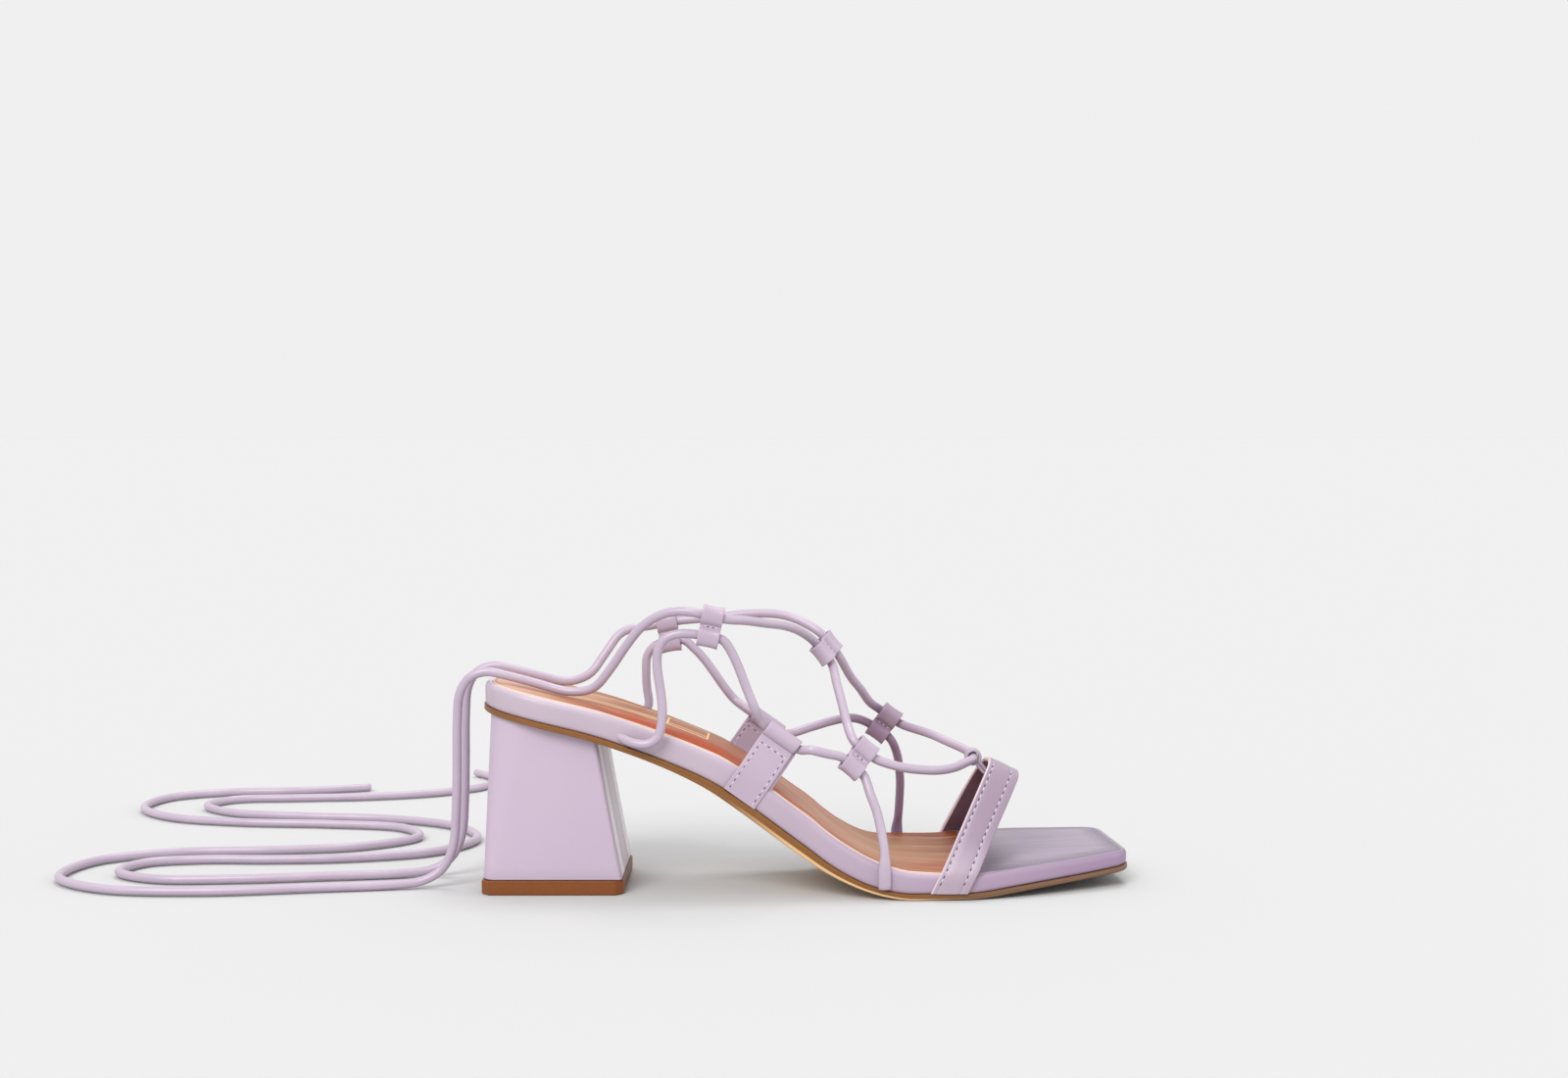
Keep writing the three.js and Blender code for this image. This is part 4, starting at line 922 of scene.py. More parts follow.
# ahead of the strap the platform is brushed lengthwise, and its greyer, darker satin is painted
# shade and a painted grey reflection
lengthwise = add(tree, "Mapping", {"Vector": place, "Scale": (0.07, 1.0, 1.0)})
brushed = add(tree, "TexNoise", {"Vector": lengthwise, "Scale": 1 / (3.2 * MM), "Detail": 4.0})
satin = add(tree, "Mix", {0: brushed, 6: "7E7083", 7: "9D8FA0"}, data_type="RGBA")
ahead = add(tree, "MapRange", (along, 0.74, 0.78, 0.0, 1.0))
inside = add(tree, "MapRange", (inward, 2.5, 10.0, 0.0, 1.0))
share = add(tree, "Math", (ahead, inside), operation="MULTIPLY")
# painted shade: ahead of the strap the rim's roll is a darker lilac
over_rim = add(tree, "MapRange", (inward, 0.4, 2.6, 0.0, 1.0))
roll_shade = add(tree, "Math", (ahead, over_rim), operation="MULTIPLY")
rolled = add(tree, "Mix", {0: roll_shade, 6: toe_shaded, 7: "6B5F70"}, data_type="RGBA")
topped = add(tree, "Mix", {0: share, 6: rolled, 7: satin}, data_type="RGBA")
# painted highlight: a thin pale line along the rim, up to the strap, and a painted shadow, a thin
# dark line along the insole
off_rim = add(tree, "Math", (inward, 2.3), operation="SUBTRACT")
near_rim = add(tree, "Math", (off_rim,), operation="ABSOLUTE")
behind = add(tree, "MapRange", (along, 0.7, 0.8, 0.5, 0.14))
rim_highlight = add(tree, "MapRange", (near_rim, 0.2, 0.7, behind, 0.0))
highlight_paled = add(tree, "Mix", {0: rim_highlight, 6: topped, 7: "E6DCE8"}, data_type="RGBA")
beside = add(tree, "Math", (inward, 3.15, 0.35), operation="COMPARE")
under_sheet = add(tree, "MapRange", (along, 0.745, 0.75, 0.6, 0.0))
tucked = add(tree, "Math", (beside, under_sheet), operation="MULTIPLY")
lined = add(tree, "Mix", {0: tucked, 6: highlight_paled, 7: "5C4048"}, data_type="RGBA")
pressed_coat(tree, place, clouds, lined, 0.42)
MIDSOLE_INSET = 0.4
# inset from the sole's outline and share of the wall's height, from the rim down
WRAP = ((3.4, 0.985), (2.4, 1.0), (1.6, 0.992), (0.95, 0.965), (0.5, 0.92), (0.22, 0.855),
        (0.07, 0.77), (0.0, 0.64), (0.0, 0.3), (0.04, 0.18), (0.16, 0.09), (0.4, 0.03), (0.8, 0.0))


def wider_roll(inset):
    """Ahead of the strap the rim's roll is half as wide again, round the toe's corners."""
    def at(point):
        t = min(max((along_at(point.x, point.y) - 0.73) / 0.06, 0), 1)
        return MIDSOLE_INSET + inset * (1 + 0.5 * t)
    return at


shape = sole_layer([(wider_roll(inset),
                     between(over(outsole_top, GAP * 0.3), over(midsole_top), share))
                    for inset, share in WRAP], 24, crowned=(0,))
finished("midsole_wrap", charted(shape), [midsole_leather], 50, ["midsole"])

# %% [markdown]
# ### The insole
#
# A thin sheet of caramel leather is glued on last, just inside the rim, and ends under the toe
# strap. Its cut edge is turned and catches a thin line of light. The heel carries a plain frame of
# fine gilt lines, which the material draws from each vertex's place along and across the sole.

# %% Burnished insole leather
# millimetres along and across that the gilt frame spans, and the line that divides it
FRAME_ALONG, FRAME_ACROSS, FRAME_DIVIDER = (28, 81), (-6, 11), 66.5
GILT_LINE = 0.62  # a real stamped line is half as wide, too fine to see at this slant

burnished_leather, tree = new_material("insole_burnished_leather")
place = add(tree, "TexCoord").outputs["Object"]
along = add(tree, "Attribute", attribute_name="sole_along").outputs["Fac"]
across = add(tree, "Attribute", attribute_name="sole_across").outputs["Fac"]
inward = add(tree, "Attribute", attribute_name="sole_inward").outputs["Fac"]
# the tone changes along the sole; its pale heel end is partly a painted reflection, and its dark
# end under the strap a painted shadow
ramp = add(tree, "ValToRGB", (along,))
stops = ramp.color_ramp.elements
stops[0].position, stops[0].color = 0.0, linear("DBB5A4")
stops[1].position, stops[1].color = 0.77, linear("5E2609")
for position, tone in ((0.1, "C0937A"), (0.22, "996549"), (0.4, "9E6C54"), (0.52, "B08069"),
                       (0.62, "A57A5A"), (0.68, "996A4A"), (0.72, "8A593C")):
    stops.new(position).color = linear(tone)
# painted shade: where the sheet dips to its rim, a deeper orange lies on the outer half from the
# seat to the arch, on the outer side of the ball, and in a thin margin round the rim further on
outer_half = add(tree, "MapRange", (across, -5.0, -13.0, 0.0, 1.0))
seat = add(tree, "MapRange", (along, 0.1, 0.24, 0.0, 1.0))
arch = add(tree, "MapRange", (along, 0.36, 0.5, 1.0, 0.0))
seat_band = add(tree, "Math", (seat, arch), operation="MULTIPLY")
band = add(tree, "Math", (seat_band, outer_half), operation="MULTIPLY")
margin = add(tree, "MapRange", (inward, 6.0, 10.0, 0.7, 0.0))
rimmed = add(tree, "Math", (margin, seat), operation="MULTIPLY")
fore = add(tree, "MapRange", (along, 0.56, 0.72, 0.0, 1.0))
near = add(tree, "MapRange", (across, -4.0, -24.0, 0.0, 0.55))
ball = add(tree, "Math", (near, fore), operation="MULTIPLY")
behind = add(tree, "Math", (band, ball), operation="MAXIMUM")
dip_shade = add(tree, "Math", (behind, rimmed), operation="MAXIMUM")
dip_shaded = add(tree, "Mix", {0: dip_shade, 6: ramp, 7: "A2431B"}, data_type="RGBA")
# painted shadow: beside the strap the far side is darkest, in the strap's shade
far = add(tree, "MapRange", (across, 10.0, 30.0, 0.0, 0.85))
corner = add(tree, "Math", (far, fore), operation="MULTIPLY")
strap_shadowed = add(tree, "Mix", {0: corner, 6: dip_shaded, 7: "6E300F"}, data_type="RGBA")
# long streaks from wiping the stain on lengthwise
lengthwise = add(tree, "Mapping", {"Vector": place, "Scale": (0.08, 1.0, 0.3)})
streaks = add(tree, "TexNoise",
              {"Vector": lengthwise, "Scale": 1 / (5 * MM), "Detail": 4.0, "Roughness": 0.6})
pale = add(tree, "MapRange", (streaks, 0.5, 0.75, 0.0, 0.4))
streaked = add(tree, "Mix", {0: pale, 6: strap_shadowed, 7: "C9AA98"}, data_type="RGBA")
deep = add(tree, "MapRange", (streaks, 0.5, 0.25, 0.0, 0.3))
stained = add(tree, "Mix", {0: deep, 6: streaked, 7: "8E4A26"}, data_type="RGBA")
# the frame: gilt wherever a place is within a line's width of one of its six lines
length = add(tree, "Math", (along, float(SOLE_LENGTH)), operation="MULTIPLY")
gilt = None
for side, mark, wide, other, low, high in (
        (length, FRAME_ALONG[0], 0.5, across, *FRAME_ACROSS),
        (length, FRAME_ALONG[1], 0.5, across, *FRAME_ACROSS),
        (length, FRAME_DIVIDER, 0.5, across, *FRAME_ACROSS),
        (across, FRAME_ACROSS[0], 1.0, length, *FRAME_ALONG),
        (across, FRAME_ACROSS[1], 1.0, length, *FRAME_ALONG),
        (across, FRAME_ACROSS[0] + 3.5, 0.8, length, *FRAME_ALONG)):
    on_line = add(tree, "Math", (side, float(mark), GILT_LINE * wide), operation="COMPARE")
    within = add(tree, "Math", (other, (low + high) / 2, (high - low) / 2), operation="COMPARE")
    both = add(tree, "Math", (on_line, within), operation="MULTIPLY")
    gilt = both if gilt is None else add(tree, "Math", (gilt, both), operation="MAXIMUM")
stamped = add(tree, "Mix", {0: gilt, 6: stained, 7: "DDBB8A"}, data_type="RGBA")
# the turned edge is pale, partly its own colour and partly a painted highlight, and beside it
# lies a thin line of painted shade
edge_shade = add(tree, "MapRange", (inward, 4.0, 4.5, 0.5, 0.0))
folded = add(tree, "Mix", {0: edge_shade, 6: stamped, 7: "7A3F20"}, data_type="RGBA")
turned = add(tree, "MapRange", (inward, 3.55, 3.8, 1.0, 0.0))
edged = add(tree, "Mix", {0: turned, 6: folded, 7: "D6BCA6"}, data_type="RGBA")
grain = add(tree, "TexVoronoi", {"Vector": place, "Scale": 1 / (0.5 * MM)}, feature="SMOOTH_F1")
shaded(tree, edged, 0.5, grain, 0.3, 0.03, Specular_IOR_Level=0.2)

INSOLE_INSET = 3.1
INSOLE_PROUD = 0.4
INSOLE_END = 0.755
SHEET_EDGE = ((0.9, 0.0), (0.45, -0.03), (0.18, -0.12), (0.0, -0.35), (0.0, -0.9))
shape = sole_layer([(INSOLE_INSET + inset, over(midsole_top, INSOLE_PROUD + drop))
                    for inset, drop in SHEET_EDGE], 20, INSOLE_END, crowned=(0, 4))
# its front end is cut at a slant, along the strap that hides it
SLANT_FROM, SLANT_MIDDLE, SLANT_SIDE = 0.6, 0.0075, 0.0325
for vert in shape.verts:
    x, y = in_plan(vert.co)
    along = along_at(x, y)
    if along > SLANT_FROM:
        _, middle, turn, half = cross_line(along)
        across = (y - middle) / math.cos(turn)
        t = min(1, (along - SLANT_FROM) / (INSOLE_END - SLANT_FROM))
        further = along + t * t * (SLANT_MIDDLE + SLANT_SIDE * across / half)
        drop = vert.co.z / MM - midsole_top(along) - crown_at(x, y)
        half_here = cross_line(further)[3]
        x, y = plan_point(further, across * (half_here - INSOLE_INSET) / (half - INSOLE_INSET))
        vert.co = placed((x, y, midsole_top(further) + crown_at(x, y) + drop))
finished("insole_sheet", charted(shape), [burnished_leather], 50, ["insole"])

# %% [markdown]
# ## The heel
#
# The block is a hollow moulding covered in the same leather. It leans back and flares towards its
# foot, its back corners are round and its front face, the breast, is nearly flat. The cover is
# wrapped from the back and its two edges meet on the breast.

# %% Heel block
BREAST_MIDDLE = 24.1
SIDE_SEAM, PANEL_SEAM = 20.8, 9.0
heel_leather, tree = new_material("heel_coated_leather")
place, clouds, tone = cloudy(tree, "BDACBD", "B3A0B4", 60.0)
uv = add(tree, "UVMap")
around = add(tree, "SeparateXYZ", (uv,)).outputs[1]
from_middle = add(tree, "Math", (around, BREAST_MIDDLE), operation="SUBTRACT")
aside = add(tree, "Math", (from_middle,), operation="ABSOLUTE")
# between the two seams of the breast lies the turned-in flap of the side cover; a painted
# reflection makes the breast near white, and the flap palest of all
flap = add(tree, "Math", (aside, (SIDE_SEAM + PANEL_SEAM) / 2, (SIDE_SEAM - PANEL_SEAM) / 2),
           operation="COMPARE")
highlight_paled = add(tree, "Math", (flap, 0.8), operation="MULTIPLY")
breast_reflection = add(tree, "MapRange", (aside, SIDE_SEAM - 0.4, SIDE_SEAM, 0.55, 0.0))
panel = add(tree, "Mix", {0: breast_reflection, 6: tone, 7: "F0E6F4"}, data_type="RGBA")
flapped = add(tree, "Mix", {0: highlight_paled, 6: panel, 7: "FAF3FF"}, data_type="RGBA")
seams = None
for seam, half in ((SIDE_SEAM, 0.75), (PANEL_SEAM, 1.0)):
    off = add(tree, "Math", (aside, seam), operation="SUBTRACT")
    near = add(tree, "Math", (off,), operation="ABSOLUTE")
    line = add(tree, "MapRange", (near, half * 0.5, half, 1.0, 0.0))
    seams = line if seams is None else add(tree, "Math", (seams, line), operation="MAXIMUM")
shadowed = add(tree, "Math", (seams, 0.7), operation="MULTIPLY")
sewn = add(tree, "Mix", {0: shadowed, 6: flapped, 7: "735C74"}, data_type="RGBA")
pressed_coat(tree, place, clouds, sewn, 0.4, groove=seams)

HEEL_TOP = {"length": 39, "width": 44, "setback": 3.2, "corner": 15}
HEEL_BASE = {"length": 49.5, "width": 46.4, "setback": 1.7, "corner": 4.5}
BREAST_CORNER = 1.6
TIP_HEIGHT = 5.2
TIP_PROUD = 0.5
TIP_CHAMFER = 2.6


def corner_plan(back, front, half, back_corner, front_corner, back_steps, front_steps):
    """A rectangle in plan with round corners, anticlockwise from above."""
    ahead, behind = front - front_corner, back + back_corner
    corners = ((ahead, front_corner - half, front_corner, -90, front_steps),
               (ahead, half - front_corner, front_corner, 0, front_steps),
               (behind, half - back_corner, back_corner, 90, back_steps),
               (behind, back_corner - half, back_corner, 180, back_steps))
    return [Vector((x + radius * math.cos(math.radians(turn + 90 * i / steps)),
                    y + radius * math.sin(math.radians(turn + 90 * i / steps))))
            for x, y, radius, turn, steps in corners for i in range(steps + 1)]


def heel_ring(level, lift=0.0, inset=0.0):
    size = {key: HEEL_BASE[key] + (HEEL_TOP[key] - HEEL_BASE[key]) * level for key in HEEL_BASE}
    plan = corner_plan(size["setback"] + inset, size["setback"] + size["length"] - inset,
                       size["width"] / 2 - inset, max(0.4, size["corner"] - inset),
                       max(0.4, BREAST_CORNER - inset), 14, 5)
    foot = TIP_HEIGHT + GAP * 0.3
    ring = []
    for point in plan:
        top = underside_at(along_at(*point)) - GAP * 0.3
        ring.append(Vector((point.x, point.y, foot + (top - foot) * level + lift)))
    return ring


shape = bmesh.new()
levels = [(0, 0, 0.6), (0, 0.25, 0.15), (0, 0.7, 0)] + [(i / 12, 0, 0) for i in range(1, 13)]
skin([heel_ring(*level) for level in levels], shape)
finished("heel_cover", shape, [heel_leather], 40, ["heel_block"])

# %% [markdown]
# ### The heel tip
#
# A slice of hard brown rubber nailed under the block. Its corners are cut off at a slant, and the
# slants catch more light than the sides.

# %% Heel tip
tip_rubber = resin_rubber("heel_tip_rubber", "713C10", "804618")


def tip_ring(inset, z):
    plan = corner_plan(HEEL_BASE["setback"] - TIP_PROUD + inset,
                       HEEL_BASE["setback"] + HEEL_BASE["length"] + TIP_PROUD - inset,
                       HEEL_BASE["width"] / 2 + TIP_PROUD - inset, TIP_CHAMFER, TIP_CHAMFER, 1, 1)
    return [Vector((point.x, point.y, z)) for point in plan]


shape = bmesh.new()
skin([tip_ring(0.6, 0.0), tip_ring(0.25, 0.2), tip_ring(0.0, 0.6), tip_ring(0.0, TIP_HEIGHT - 0.3),
      tip_ring(0.3, TIP_HEIGHT)], shape)
finished("heel_tip_piece", shape, [tip_rubber], 25, ["heel_tip"])

# %% [markdown]
# ## Stitches
#
# A seam shows two things: the thread, which sinks a little into the leather, and the needle holes
# between the stitches, long and narrow because the needle cuts as it goes. A hole shows only by the
# shade in it, so each is a dark ball, a painted shadow. Both are tiny and many, so each is a ball
# of twenty faces, drawn out along the seam.

# %% Sewing thread and needle holes
STITCH_PITCH = 2.8

thread, tree = new_material("sewing_thread_polyester")
place = add(tree, "TexCoord").outputs["Object"]
ply = add(tree, "TexNoise", {"Vector": place, "Scale": 1 / (0.4 * MM), "Detail": 2.0})
shade = add(tree, "Mix", {0: ply, 6: "C2B0C6", 7: "E2D7E6"}, data_type="RGBA")
shaded(tree, shade, 0.5, ply, 0.4, 0.05)

# painted shadow: the needle holes are dark balls that stand for the shade in each hole
needle_hole, tree = new_material("needle_hole_shadow")
place = add(tree, "TexCoord").outputs["Object"]
depth = add(tree, "TexNoise", {"Vector": place, "Scale": 1 / (0.3 * MM), "Detail": 2.0})
shade = add(tree, "Mix", {0: depth, 6: "43354B", 7: "5A4862"}, data_type="RGBA")
shaded(tree, shade, 0.9, depth, 0.3, 0.05)


def sew(name, rows, pitch=STITCH_PITCH):
    """Stitches along rows. Each row is a list of (place, outward) along a seam."""
    threads, hole_shadows = bmesh.new(), bmesh.new()
    for row in rows:
        walked = 0.0
        for (a, out), (b, _) in zip(row, row[1:]):
            piece = (b - a).length
            while walked <= piece:
                spot = a.lerp(b, walked / piece)
                run = (b - a).normalized()
                side = out.cross(run).normalized()
                up = run.cross(side)
                for shape, middle, size in (
                        (threads, spot + run * pitch / 2, (pitch * 0.27, 0.22, 0.2)),
                        (hole_shadows, spot, (pitch * 0.21, 0.25, 0.16))):
                    turn = Matrix([run * size[0] * MM, side * size[1] * MM,
                                   up * size[2] * MM]).transposed()
                    bmesh.ops.create_icosphere(
                        shape, subdivisions=1, radius=1,
                        matrix=Matrix.Translation(placed(middle)) @ turn.to_4x4())
                walked += pitch
            walked -= piece
    finished(name + "_threads", threads, [thread], 60)
    finished(name + "_holes", hole_shadows, [needle_hole], 60)


print("thread ready, pitch", STITCH_PITCH, "mm")

# %% [markdown]
# ## The toe strap
#
# One band of leather over a stay, folded at its front edge and sewn down along both. It stands on
# the sole's edges, leans back and arches over the toes. Its section is drawn once, with a dip at
# each seam, and travels along the arch. The inside is a darker lining whose cut edge shows pale.

# %% Lining and cut edge
def plain_leather(name, light, dark, rough, grain_size):
    made, tree = new_material(name)
    place = add(tree, "TexCoord").outputs["Object"]
    cloud = add(tree, "TexNoise", {"Vector": place, "Scale": 1 / (7 * MM), "Detail": 4.0})
    tone = add(tree, "Mix", {0: cloud, 6: dark, 7: light}, data_type="RGBA")
    grain = add(tree, "TexNoise", {"Vector": place, "Scale": 1 / (grain_size * MM), "Detail": 3.0})
    shaded(tree, tone, rough, grain, 0.4, 0.05, Specular_IOR_Level=0.35)
    return made


strap_lining = plain_leather("strap_lining_suede", "6E505A", "593E49", 0.8, 0.6)
# the pale cut edge is partly its own colour and partly a painted highlight where the turned edge
# catches the light
cut_edge_and_highlight = plain_leather("strap_cut_edge", "D9C8C9", "C4B0B6", 0.6, 0.8)

STRAP_WIDTH = 11.9
STRAP_WALL = 1.7
STRAP_RISE = 43.7
STRAP_LEAN = math.radians(25.5)
STRAP_SKEW = math.radians(4.2)
STRAP_PROUD = 0.7
STRAP_SETBACK = 160.2
# share of the width across the foot, share of the rise
ARCH = ((-0.5, 0), (-0.502, 0.14), (-0.475, 0.265), (-0.437, 0.414), (-0.399, 0.574),
        (-0.364, 0.723), (-0.331, 0.849), (-0.3, 0.94), (-0.268, 0.985), (-0.22, 1.0), (-0.13, 1.0),
        (-0.02, 0.97), (0.09, 0.93), (0.18, 0.865), (0.265, 0.755), (0.338, 0.605), (0.405, 0.426),
        (0.462, 0.254), (0.502, 0.128), (0.5, 0))


def strap_edges():
    """The strap's back and front edge, a pair of places for each row of the arch."""
    flare = STRAP_WIDTH / math.cos(STRAP_LEAN)
    fall = STRAP_WIDTH * math.sin(STRAP_LEAN)
    reach = STRAP_WIDTH * math.cos(STRAP_LEAN)
    middle = STRAP_SETBACK + flare / 2
    outer = edge_at(middle, -1)[1] - STRAP_PROUD
    inner = edge_at(middle, 1)[1] + STRAP_PROUD
    foot = outsole_top(edge_at(middle, -1)[0]) + GAP
    backs, fronts = [], []
    for across, up in ARCH:
        y = (outer + inner) / 2 + across * (inner - outer)
        rise = up * STRAP_RISE
        t = min(max((up - 0.15) / 0.65, 0), 1)
        level = t * t * (3 - 2 * t)
        back = STRAP_SETBACK + math.tan(STRAP_LEAN) * rise + math.tan(STRAP_SKEW) * (y - outer)
        front = back + flare + (reach - flare) * level
        ground = [(outsole_top(along_at(x, y)) + GAP) * (1 - level) + foot * level
                  for x in (back, front)]
        backs.append(Vector((back, y, ground[0] + rise)))
        fronts.append(Vector((front, y, ground[1] + rise - fall * level)))
    return backs, fronts


# millimetres from the back edge (or, if negative, from the front edge), and millimetres outward
BACK_SEAM, FRONT_SEAM = 1.7, -3.2
STRAP_SECTION = (
    (0.02, -0.5), (0.1, -0.2), (0.4, -0.02), (1.2, 0.03), (1.5, -0.06), (BACK_SEAM, -0.17),
    (1.95, -0.06), (2.6, 0.08), (4.5, 0.16), (-5.5, 0.14), (-3.9, 0.08), (-3.45, -0.06),
    (FRONT_SEAM, -0.18), (-2.9, -0.04), (-2.3, 0.06), (-0.9, 0.05), (-0.3, -0.04), (-0.08, -0.25),
    (-0.02, -0.6), (-0.02, -1.1), (-0.12, -1.5), (-0.6, -STRAP_WALL), (-5.0, -STRAP_WALL),
    (5.0, -STRAP_WALL), (0.6, -STRAP_WALL), (0.12, -1.5), (0.02, -1.1))
LINING_FROM, CUT_FROM = 20, 24


def strap_rings(backs, fronts, section):
    """The section's places at each station of the strap."""
    rings = []
    middles = [(back + front) / 2 for back, front in zip(backs, fronts)]
    for i, (back, front) in enumerate(zip(backs, fronts)):
        run = (middles[min(i + 1, len(middles) - 1)] - middles[max(i - 1, 0)]).normalized()
        wide = (front - back).normalized()
        out = wide.cross(run).normalized()
        rings.append([(back if way >= 0 else front) + wide * way + out * lift
                      for way, lift in section])
    return rings


backs, fronts = (curve_places(edge, 7) for edge in strap_edges())
shape = bmesh.new()
finish = [2] * 2 + [0] * (LINING_FROM - 2) + [1] * (CUT_FROM - LINING_FROM)
finish += [2] * (len(STRAP_SECTION) - CUT_FROM)
skin(strap_rings(backs, fronts, STRAP_SECTION), shape, finish=finish)
finished("toe_strap_band", shape, [strap_leather, strap_lining, cut_edge_and_highlight], 70,
         ["toe_strap"])
SEAM_HEIGHT = -0.08
rows = []
for way in (BACK_SEAM, FRONT_SEAM):
    low = strap_rings(backs, fronts, [(way, SEAM_HEIGHT), (way, SEAM_HEIGHT + 1)])
    rows.append([(a, b - a) for a, b in low][4:-4])
sew("toe_strap", rows)

# %% [markdown]
# ## Folded strips: tabs and the toe loop
#
# A tab is a strip folded in half round the cord and sewn together below it. Its side view is a
# ribbon: up one layer, round the cord, down the other. That outline is drawn once and skinned
# across the width, thinner at both rims, which gives the turned edges their roundness.

# %% Ribbon outline of a folded strip
def folded_ribbon(path, layer, loop):
    """The middle line of a strip folded round an eye. path ends at the eye's middle."""
    points = [Vector(point) for point in path]
    eye = points[-1]
    aim = math.atan2(*(eye - points[-2]).yx)
    radius = (loop - layer) / 2
    spread = layer * 0.54
    mouth = math.asin(spread / radius)
    body = []
    for i, point in enumerate(points[:-1]):
        run = (points[i + 1] - points[max(i - 1, 0)]).normalized()
        body.append((point, Vector((-run.y, run.x)) * spread))
    outer = [point + aside for point, aside in body]
    inner = [point - aside for point, aside in reversed(body)]
    turn = math.pi - mouth
    arc = [eye + radius * Vector((math.cos(aim + turn - 2 * turn * i / 20),
                                  math.sin(aim + turn - 2 * turn * i / 20))) for i in range(21)]
    return outer + arc + inner


def ribbon_outline(middle, half):
    """The closed outline of a ribbon with that middle line and half its thickness."""
    left, right = [], []
    for i, point in enumerate(middle):
        run = (middle[min(i + 1, len(middle) - 1)] - middle[max(i - 1, 0)]).normalized()
        aside = Vector((-run.y, run.x)) * half
        left.append(point + aside)
        right.append(point - aside)
    return left + right[::-1]


def folded_strip(name, path, layer, loop, width, origin, up, out, across, replaced, lap=0.0):
    """Skins a folded strip across its width. lap is how far its inner layer shows at the side."""
    middle = folded_ribbon(path, layer, loop)
    half = width / 2
    rims = [(0.0, 0.45), (0.1, 0.22), (0.3, 0.06), (0.6, 0.0)]
    stations = [(place - half, thin) for place, thin in rims]
    stations += [(-half + 0.6 + (width - 1.2) * i / 8, 0.0) for i in range(1, 8)]
    stations += [(half - place, thin) for place, thin in reversed(rims)]
    rings = []
    for place, thin in stations:
        outline = ribbon_outline(middle, layer / 2 * (1 - thin))
        shares = [i / (len(middle) - 1) for i in range(len(middle))]
        slips = [lap * min(max(2.5 * share - 0.75, 0), 1) for share in shares + shares[::-1]]
        rings.append([origin + up * point.x + out * point.y + across * (place + slip)
                      for point, slip in zip(outline, slips)])
    shape = bmesh.new()
    skin(rings, shape)
    return finished(name, shape, [band_leather], 45, replaced)


TAB_LAYER = 1.05
TAB_LOOP = 6.2
SEAM_IN = 1.5
CROSS_SEAM = 20.6  # its height on the outer tab
TAB_LAP = -1.1
for name, tab in TABS.items():
    foot, up, out, across = tab_frame(tab)
    path = tab_path(tab, GAP)
    fine = [p.to_2d() for p in curve_places([(u, v, 0) for u, v in path], 5)]
    folded_strip(name + "_strip", fine, TAB_LAYER, TAB_LOOP, TAB_WIDTH, foot, up, out, across,
                 [name], TAB_LAP * tab["side"])

# %% [markdown]
# The tab's seam runs up one edge, across under the fold and down the other edge.

# %% Seams of the tabs
def tab_surface(tab, height, aside, layer):
    """A place on a tab's outer (1) or inner (-1) face, and the way out of it."""
    foot, up, out, across = tab_frame(tab)
    path = [p.to_2d() for p in curve_places([(u, v, 0) for u, v in tab_path(tab, GAP)], 5)]
    low, high = next((a, b) for a, b in zip(path, path[1:]) if b.x >= height)
    spot = low.lerp(high, (height - low.x) / (high.x - low.x))
    run = (high - low).normalized()
    face = Vector((-run.y, run.x)) * layer
    lifted = spot + face * (TAB_LAYER * 1.04 - 0.03)
    return foot + up * lifted.x + out * lifted.y + across * aside, up * face.x + out * face.y


for name, tab in TABS.items():
    side = TAB_WIDTH / 2 - SEAM_IN
    top = CROSS_SEAM * tab["length"] / TABS["tab_lateral"]["length"]
    rows = []
    for layer, low in ((1, 2.2), (-1, MIDSOLE_THICKNESS + 2)):
        corners = [(low, -side), (top, -side), (top, side), (low, side)]
        row = []
        for (h0, w0), (h1, w1) in zip(corners, corners[1:]):
            row += [tab_surface(tab, h0 + (h1 - h0) * i / 6, w0 + (w1 - w0) * i / 6, layer)
                    for i in range(6)]
        rows.append(row + [tab_surface(tab, *corners[-1], layer)])
    sew(name, rows)

# %% [markdown]
# The toe loop is the same folded strip, small and stiff. Its tail is sewn under the toe strap, and
# its eye holds the lace where the lace turns back.

# %% Toe loop
TOE_LOOP_WIDTH, TOE_LOOP_WALL, TOE_LOOP_EYE, TOE_LOOP_TAIL = 4.4, 1.4, 4.8, 9
outer = TOE_LOOP_EYE + 2 * TOE_LOOP_WALL
drop = STRAP_WALL + GAP + TOE_LOOP_WALL / 2
first = Vector((math.cos(STRAP_LEAN), 0, -math.sin(STRAP_LEAN)))
second = Vector((math.sin(STRAP_LEAN), 0, math.cos(STRAP_LEAN)))
tail = [(TOE_LOOP_TAIL, -drop), (outer * 0.75, -drop), (0, 0)]
folded_strip("toe_loop_strip", tail, TOE_LOOP_WALL * 0.85, outer - 1.3, TOE_LOOP_WIDTH,
             Vector(TOE_TURN), first, second, first.cross(second), ["toe_loop"])

# %% [markdown]
# ## Keepers
#
# A keeper is a short band bent round two cords and sewn through between them, so that it makes two
# eyes with a pinched waist. Its wall is a small closed section that travels round that outline:
# out along the outside, flared a little at both cut ends, and back along the inside.

# %% Keepers
KEEPER_LOBE, KEEPER_DEPTH, KEEPER_WAIST, KEEPER_FULLNESS = 6.8, 5.7, 2.8, 2.6
LOBE_OUT = 0.2
# half the seam through the waist in shares of the length, its stitches' pitch, how deep they lie
KEEPER_SEAM, KEEPER_PITCH, THREAD_SUNK = 0.36, 1.9, 0.05
# place along the keeper in shares of half its length, millimetres in from the outside
KEEPER_SECTION = ((-1.0, -0.12), (-0.96, -0.22), (-0.8, -0.12), (-0.45, 0.02), (0.0, 0.06),
                  (0.45, 0.02), (0.8, -0.12), (0.96, -0.22), (1.0, -0.12), (1.0, 0.5), (0.9, 0.7),
                  (0.0, 0.8), (-0.9, 0.7), (-1.0, 0.5))


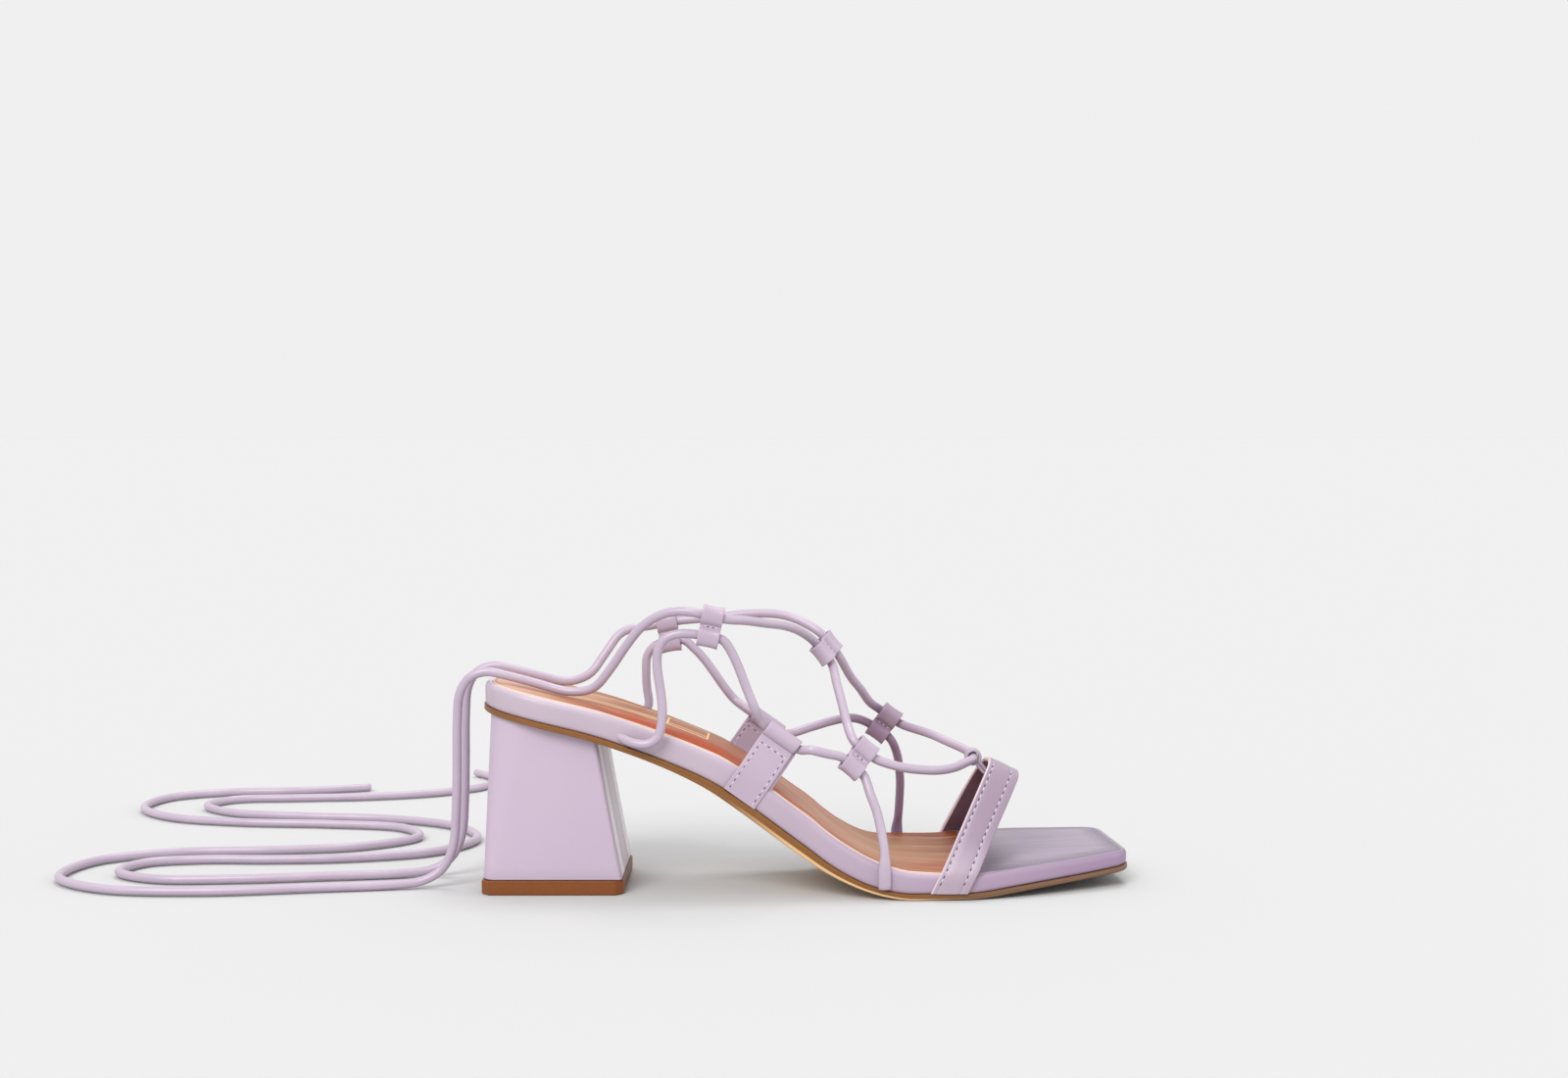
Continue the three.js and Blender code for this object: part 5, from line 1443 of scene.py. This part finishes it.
def keeper_outline(inset):
    """Two eyes side by side, joined at the waist, in plan (across, through)."""
    wide, deep = KEEPER_LOBE / 2 - inset, KEEPER_DEPTH / 2 - inset
    waist = max(0.12, KEEPER_WAIST / 2 - inset)
    pinch = math.asin(min(0.95, waist / deep) ** (KEEPER_FULLNESS / 2))
    places = []
    for side in (1, -1):
        for i in range(25):
            angle = -math.pi + pinch + (2 * math.pi - 2 * pinch) * i / 24
            turn = (math.cos(angle), math.sin(angle))
            x, y = (reach * math.copysign(abs(part) ** (2 / KEEPER_FULLNESS), part)
                    for reach, part in zip((wide, deep), turn))
            places.append(Vector((side * (KEEPER_SPREAD / 2 + LOBE_OUT + x), side * y)))
    return places


for name in KEEPERS:
    at, axis, across, through = keeper_frame(name)
    shape = bmesh.new()
    rings = [[at + axis * (share * KEEPER_LENGTH / 2) + across * point.x + through * point.y
              for point in keeper_outline(inset)] for share, inset in KEEPER_SECTION]
    eyes = [0] * (len(rings[0]) // 2) + [1] * (len(rings[0]) // 2)
    skin(rings, shape, cyclic=True, finish=eyes)
    # painted shade: the keeper over the inner side is deeper in colour, a little on its upper eye
    # and most on its lower eye
    upper = strap_leather if name == "ring_medial" else band_leather
    finished(name + "_band", shape, [upper, band_leather], 50, [name])
    row = [[(at + axis * (share * KEEPER_LENGTH * KEEPER_SEAM)
             + through * (way * (KEEPER_WAIST / 2 - THREAD_SUNK)), through * way)
            for share in (-1, 1)] for way in (-1, 1)]
    sew(name, row, KEEPER_PITCH)

# %% [markdown]
# ## Studio
#
# The shoe stands on a wide sheet of pale paper under an even white surround. Three soft lamps as
# far away as suns light the paper evenly, so it meets the surround without an edge. One stands high
# by the camera's left and models the sides. One shines down from behind, which gives each cord a
# lit top and a dark underside, and lays the shadow close under the sole. A weak one fills the
# breast.

# %% Floor, lights and surround
FLOOR_SIZE, PAPER_GREY, SURROUND_STRENGTH = 40, 0.536, 0.87
floor_mesh = bpy.data.meshes.new("studio_floor")
sheet = bmesh.new()
bmesh.ops.create_grid(sheet, x_segments=1, y_segments=1, size=FLOOR_SIZE)
sheet.to_mesh(floor_mesh)
sheet.free()
floor = bpy.data.objects.new("studio_floor", floor_mesh)
bpy.context.scene.collection.objects.link(floor)
floor_paper, tree = new_material("studio_paper")
paper = add(tree, "BsdfPrincipled",
            {"Base Color": (*[PAPER_GREY] * 3, 1.0), "Roughness": 0.95, "Specular IOR Level": 0.0})
add(tree, "OutputMaterial", {"Surface": paper})
floor_mesh.materials.append(floor_paper)

# name, place that it shines from, strength, angle that it fills
LAMPS = (
    ("window_lamp", (-0.4, -1.0, 0.95), 2.05, 32),
    ("top_lamp", (0.15, 0.45, 1.6), 0.9, 22),
    ("fill_lamp", (1.0, -0.2, 0.35), 0.5, 40),
)
for name, place, strength, angle in LAMPS:
    light = bpy.data.lights.new(name, "SUN")
    light.energy = strength
    light.angle = math.radians(angle)
    lamp = bpy.data.objects.new(name, light)
    lamp.location = place
    lamp.rotation_euler = Vector(place).to_track_quat("Z", "Y").to_euler()
    bpy.context.scene.collection.objects.link(lamp)

surround = bpy.data.worlds.new("studio_surround")
surround.use_nodes = True
surround.node_tree.nodes.clear()
glow = add(surround.node_tree, "Background",
           {"Color": (1.0, 1.0, 1.0, 1.0), "Strength": SURROUND_STRENGTH})
add(surround.node_tree, "OutputWorld", {"Surface": glow})
bpy.context.scene.world = surround
bpy.context.scene.view_settings.view_transform = "Standard"
print("studio ready")
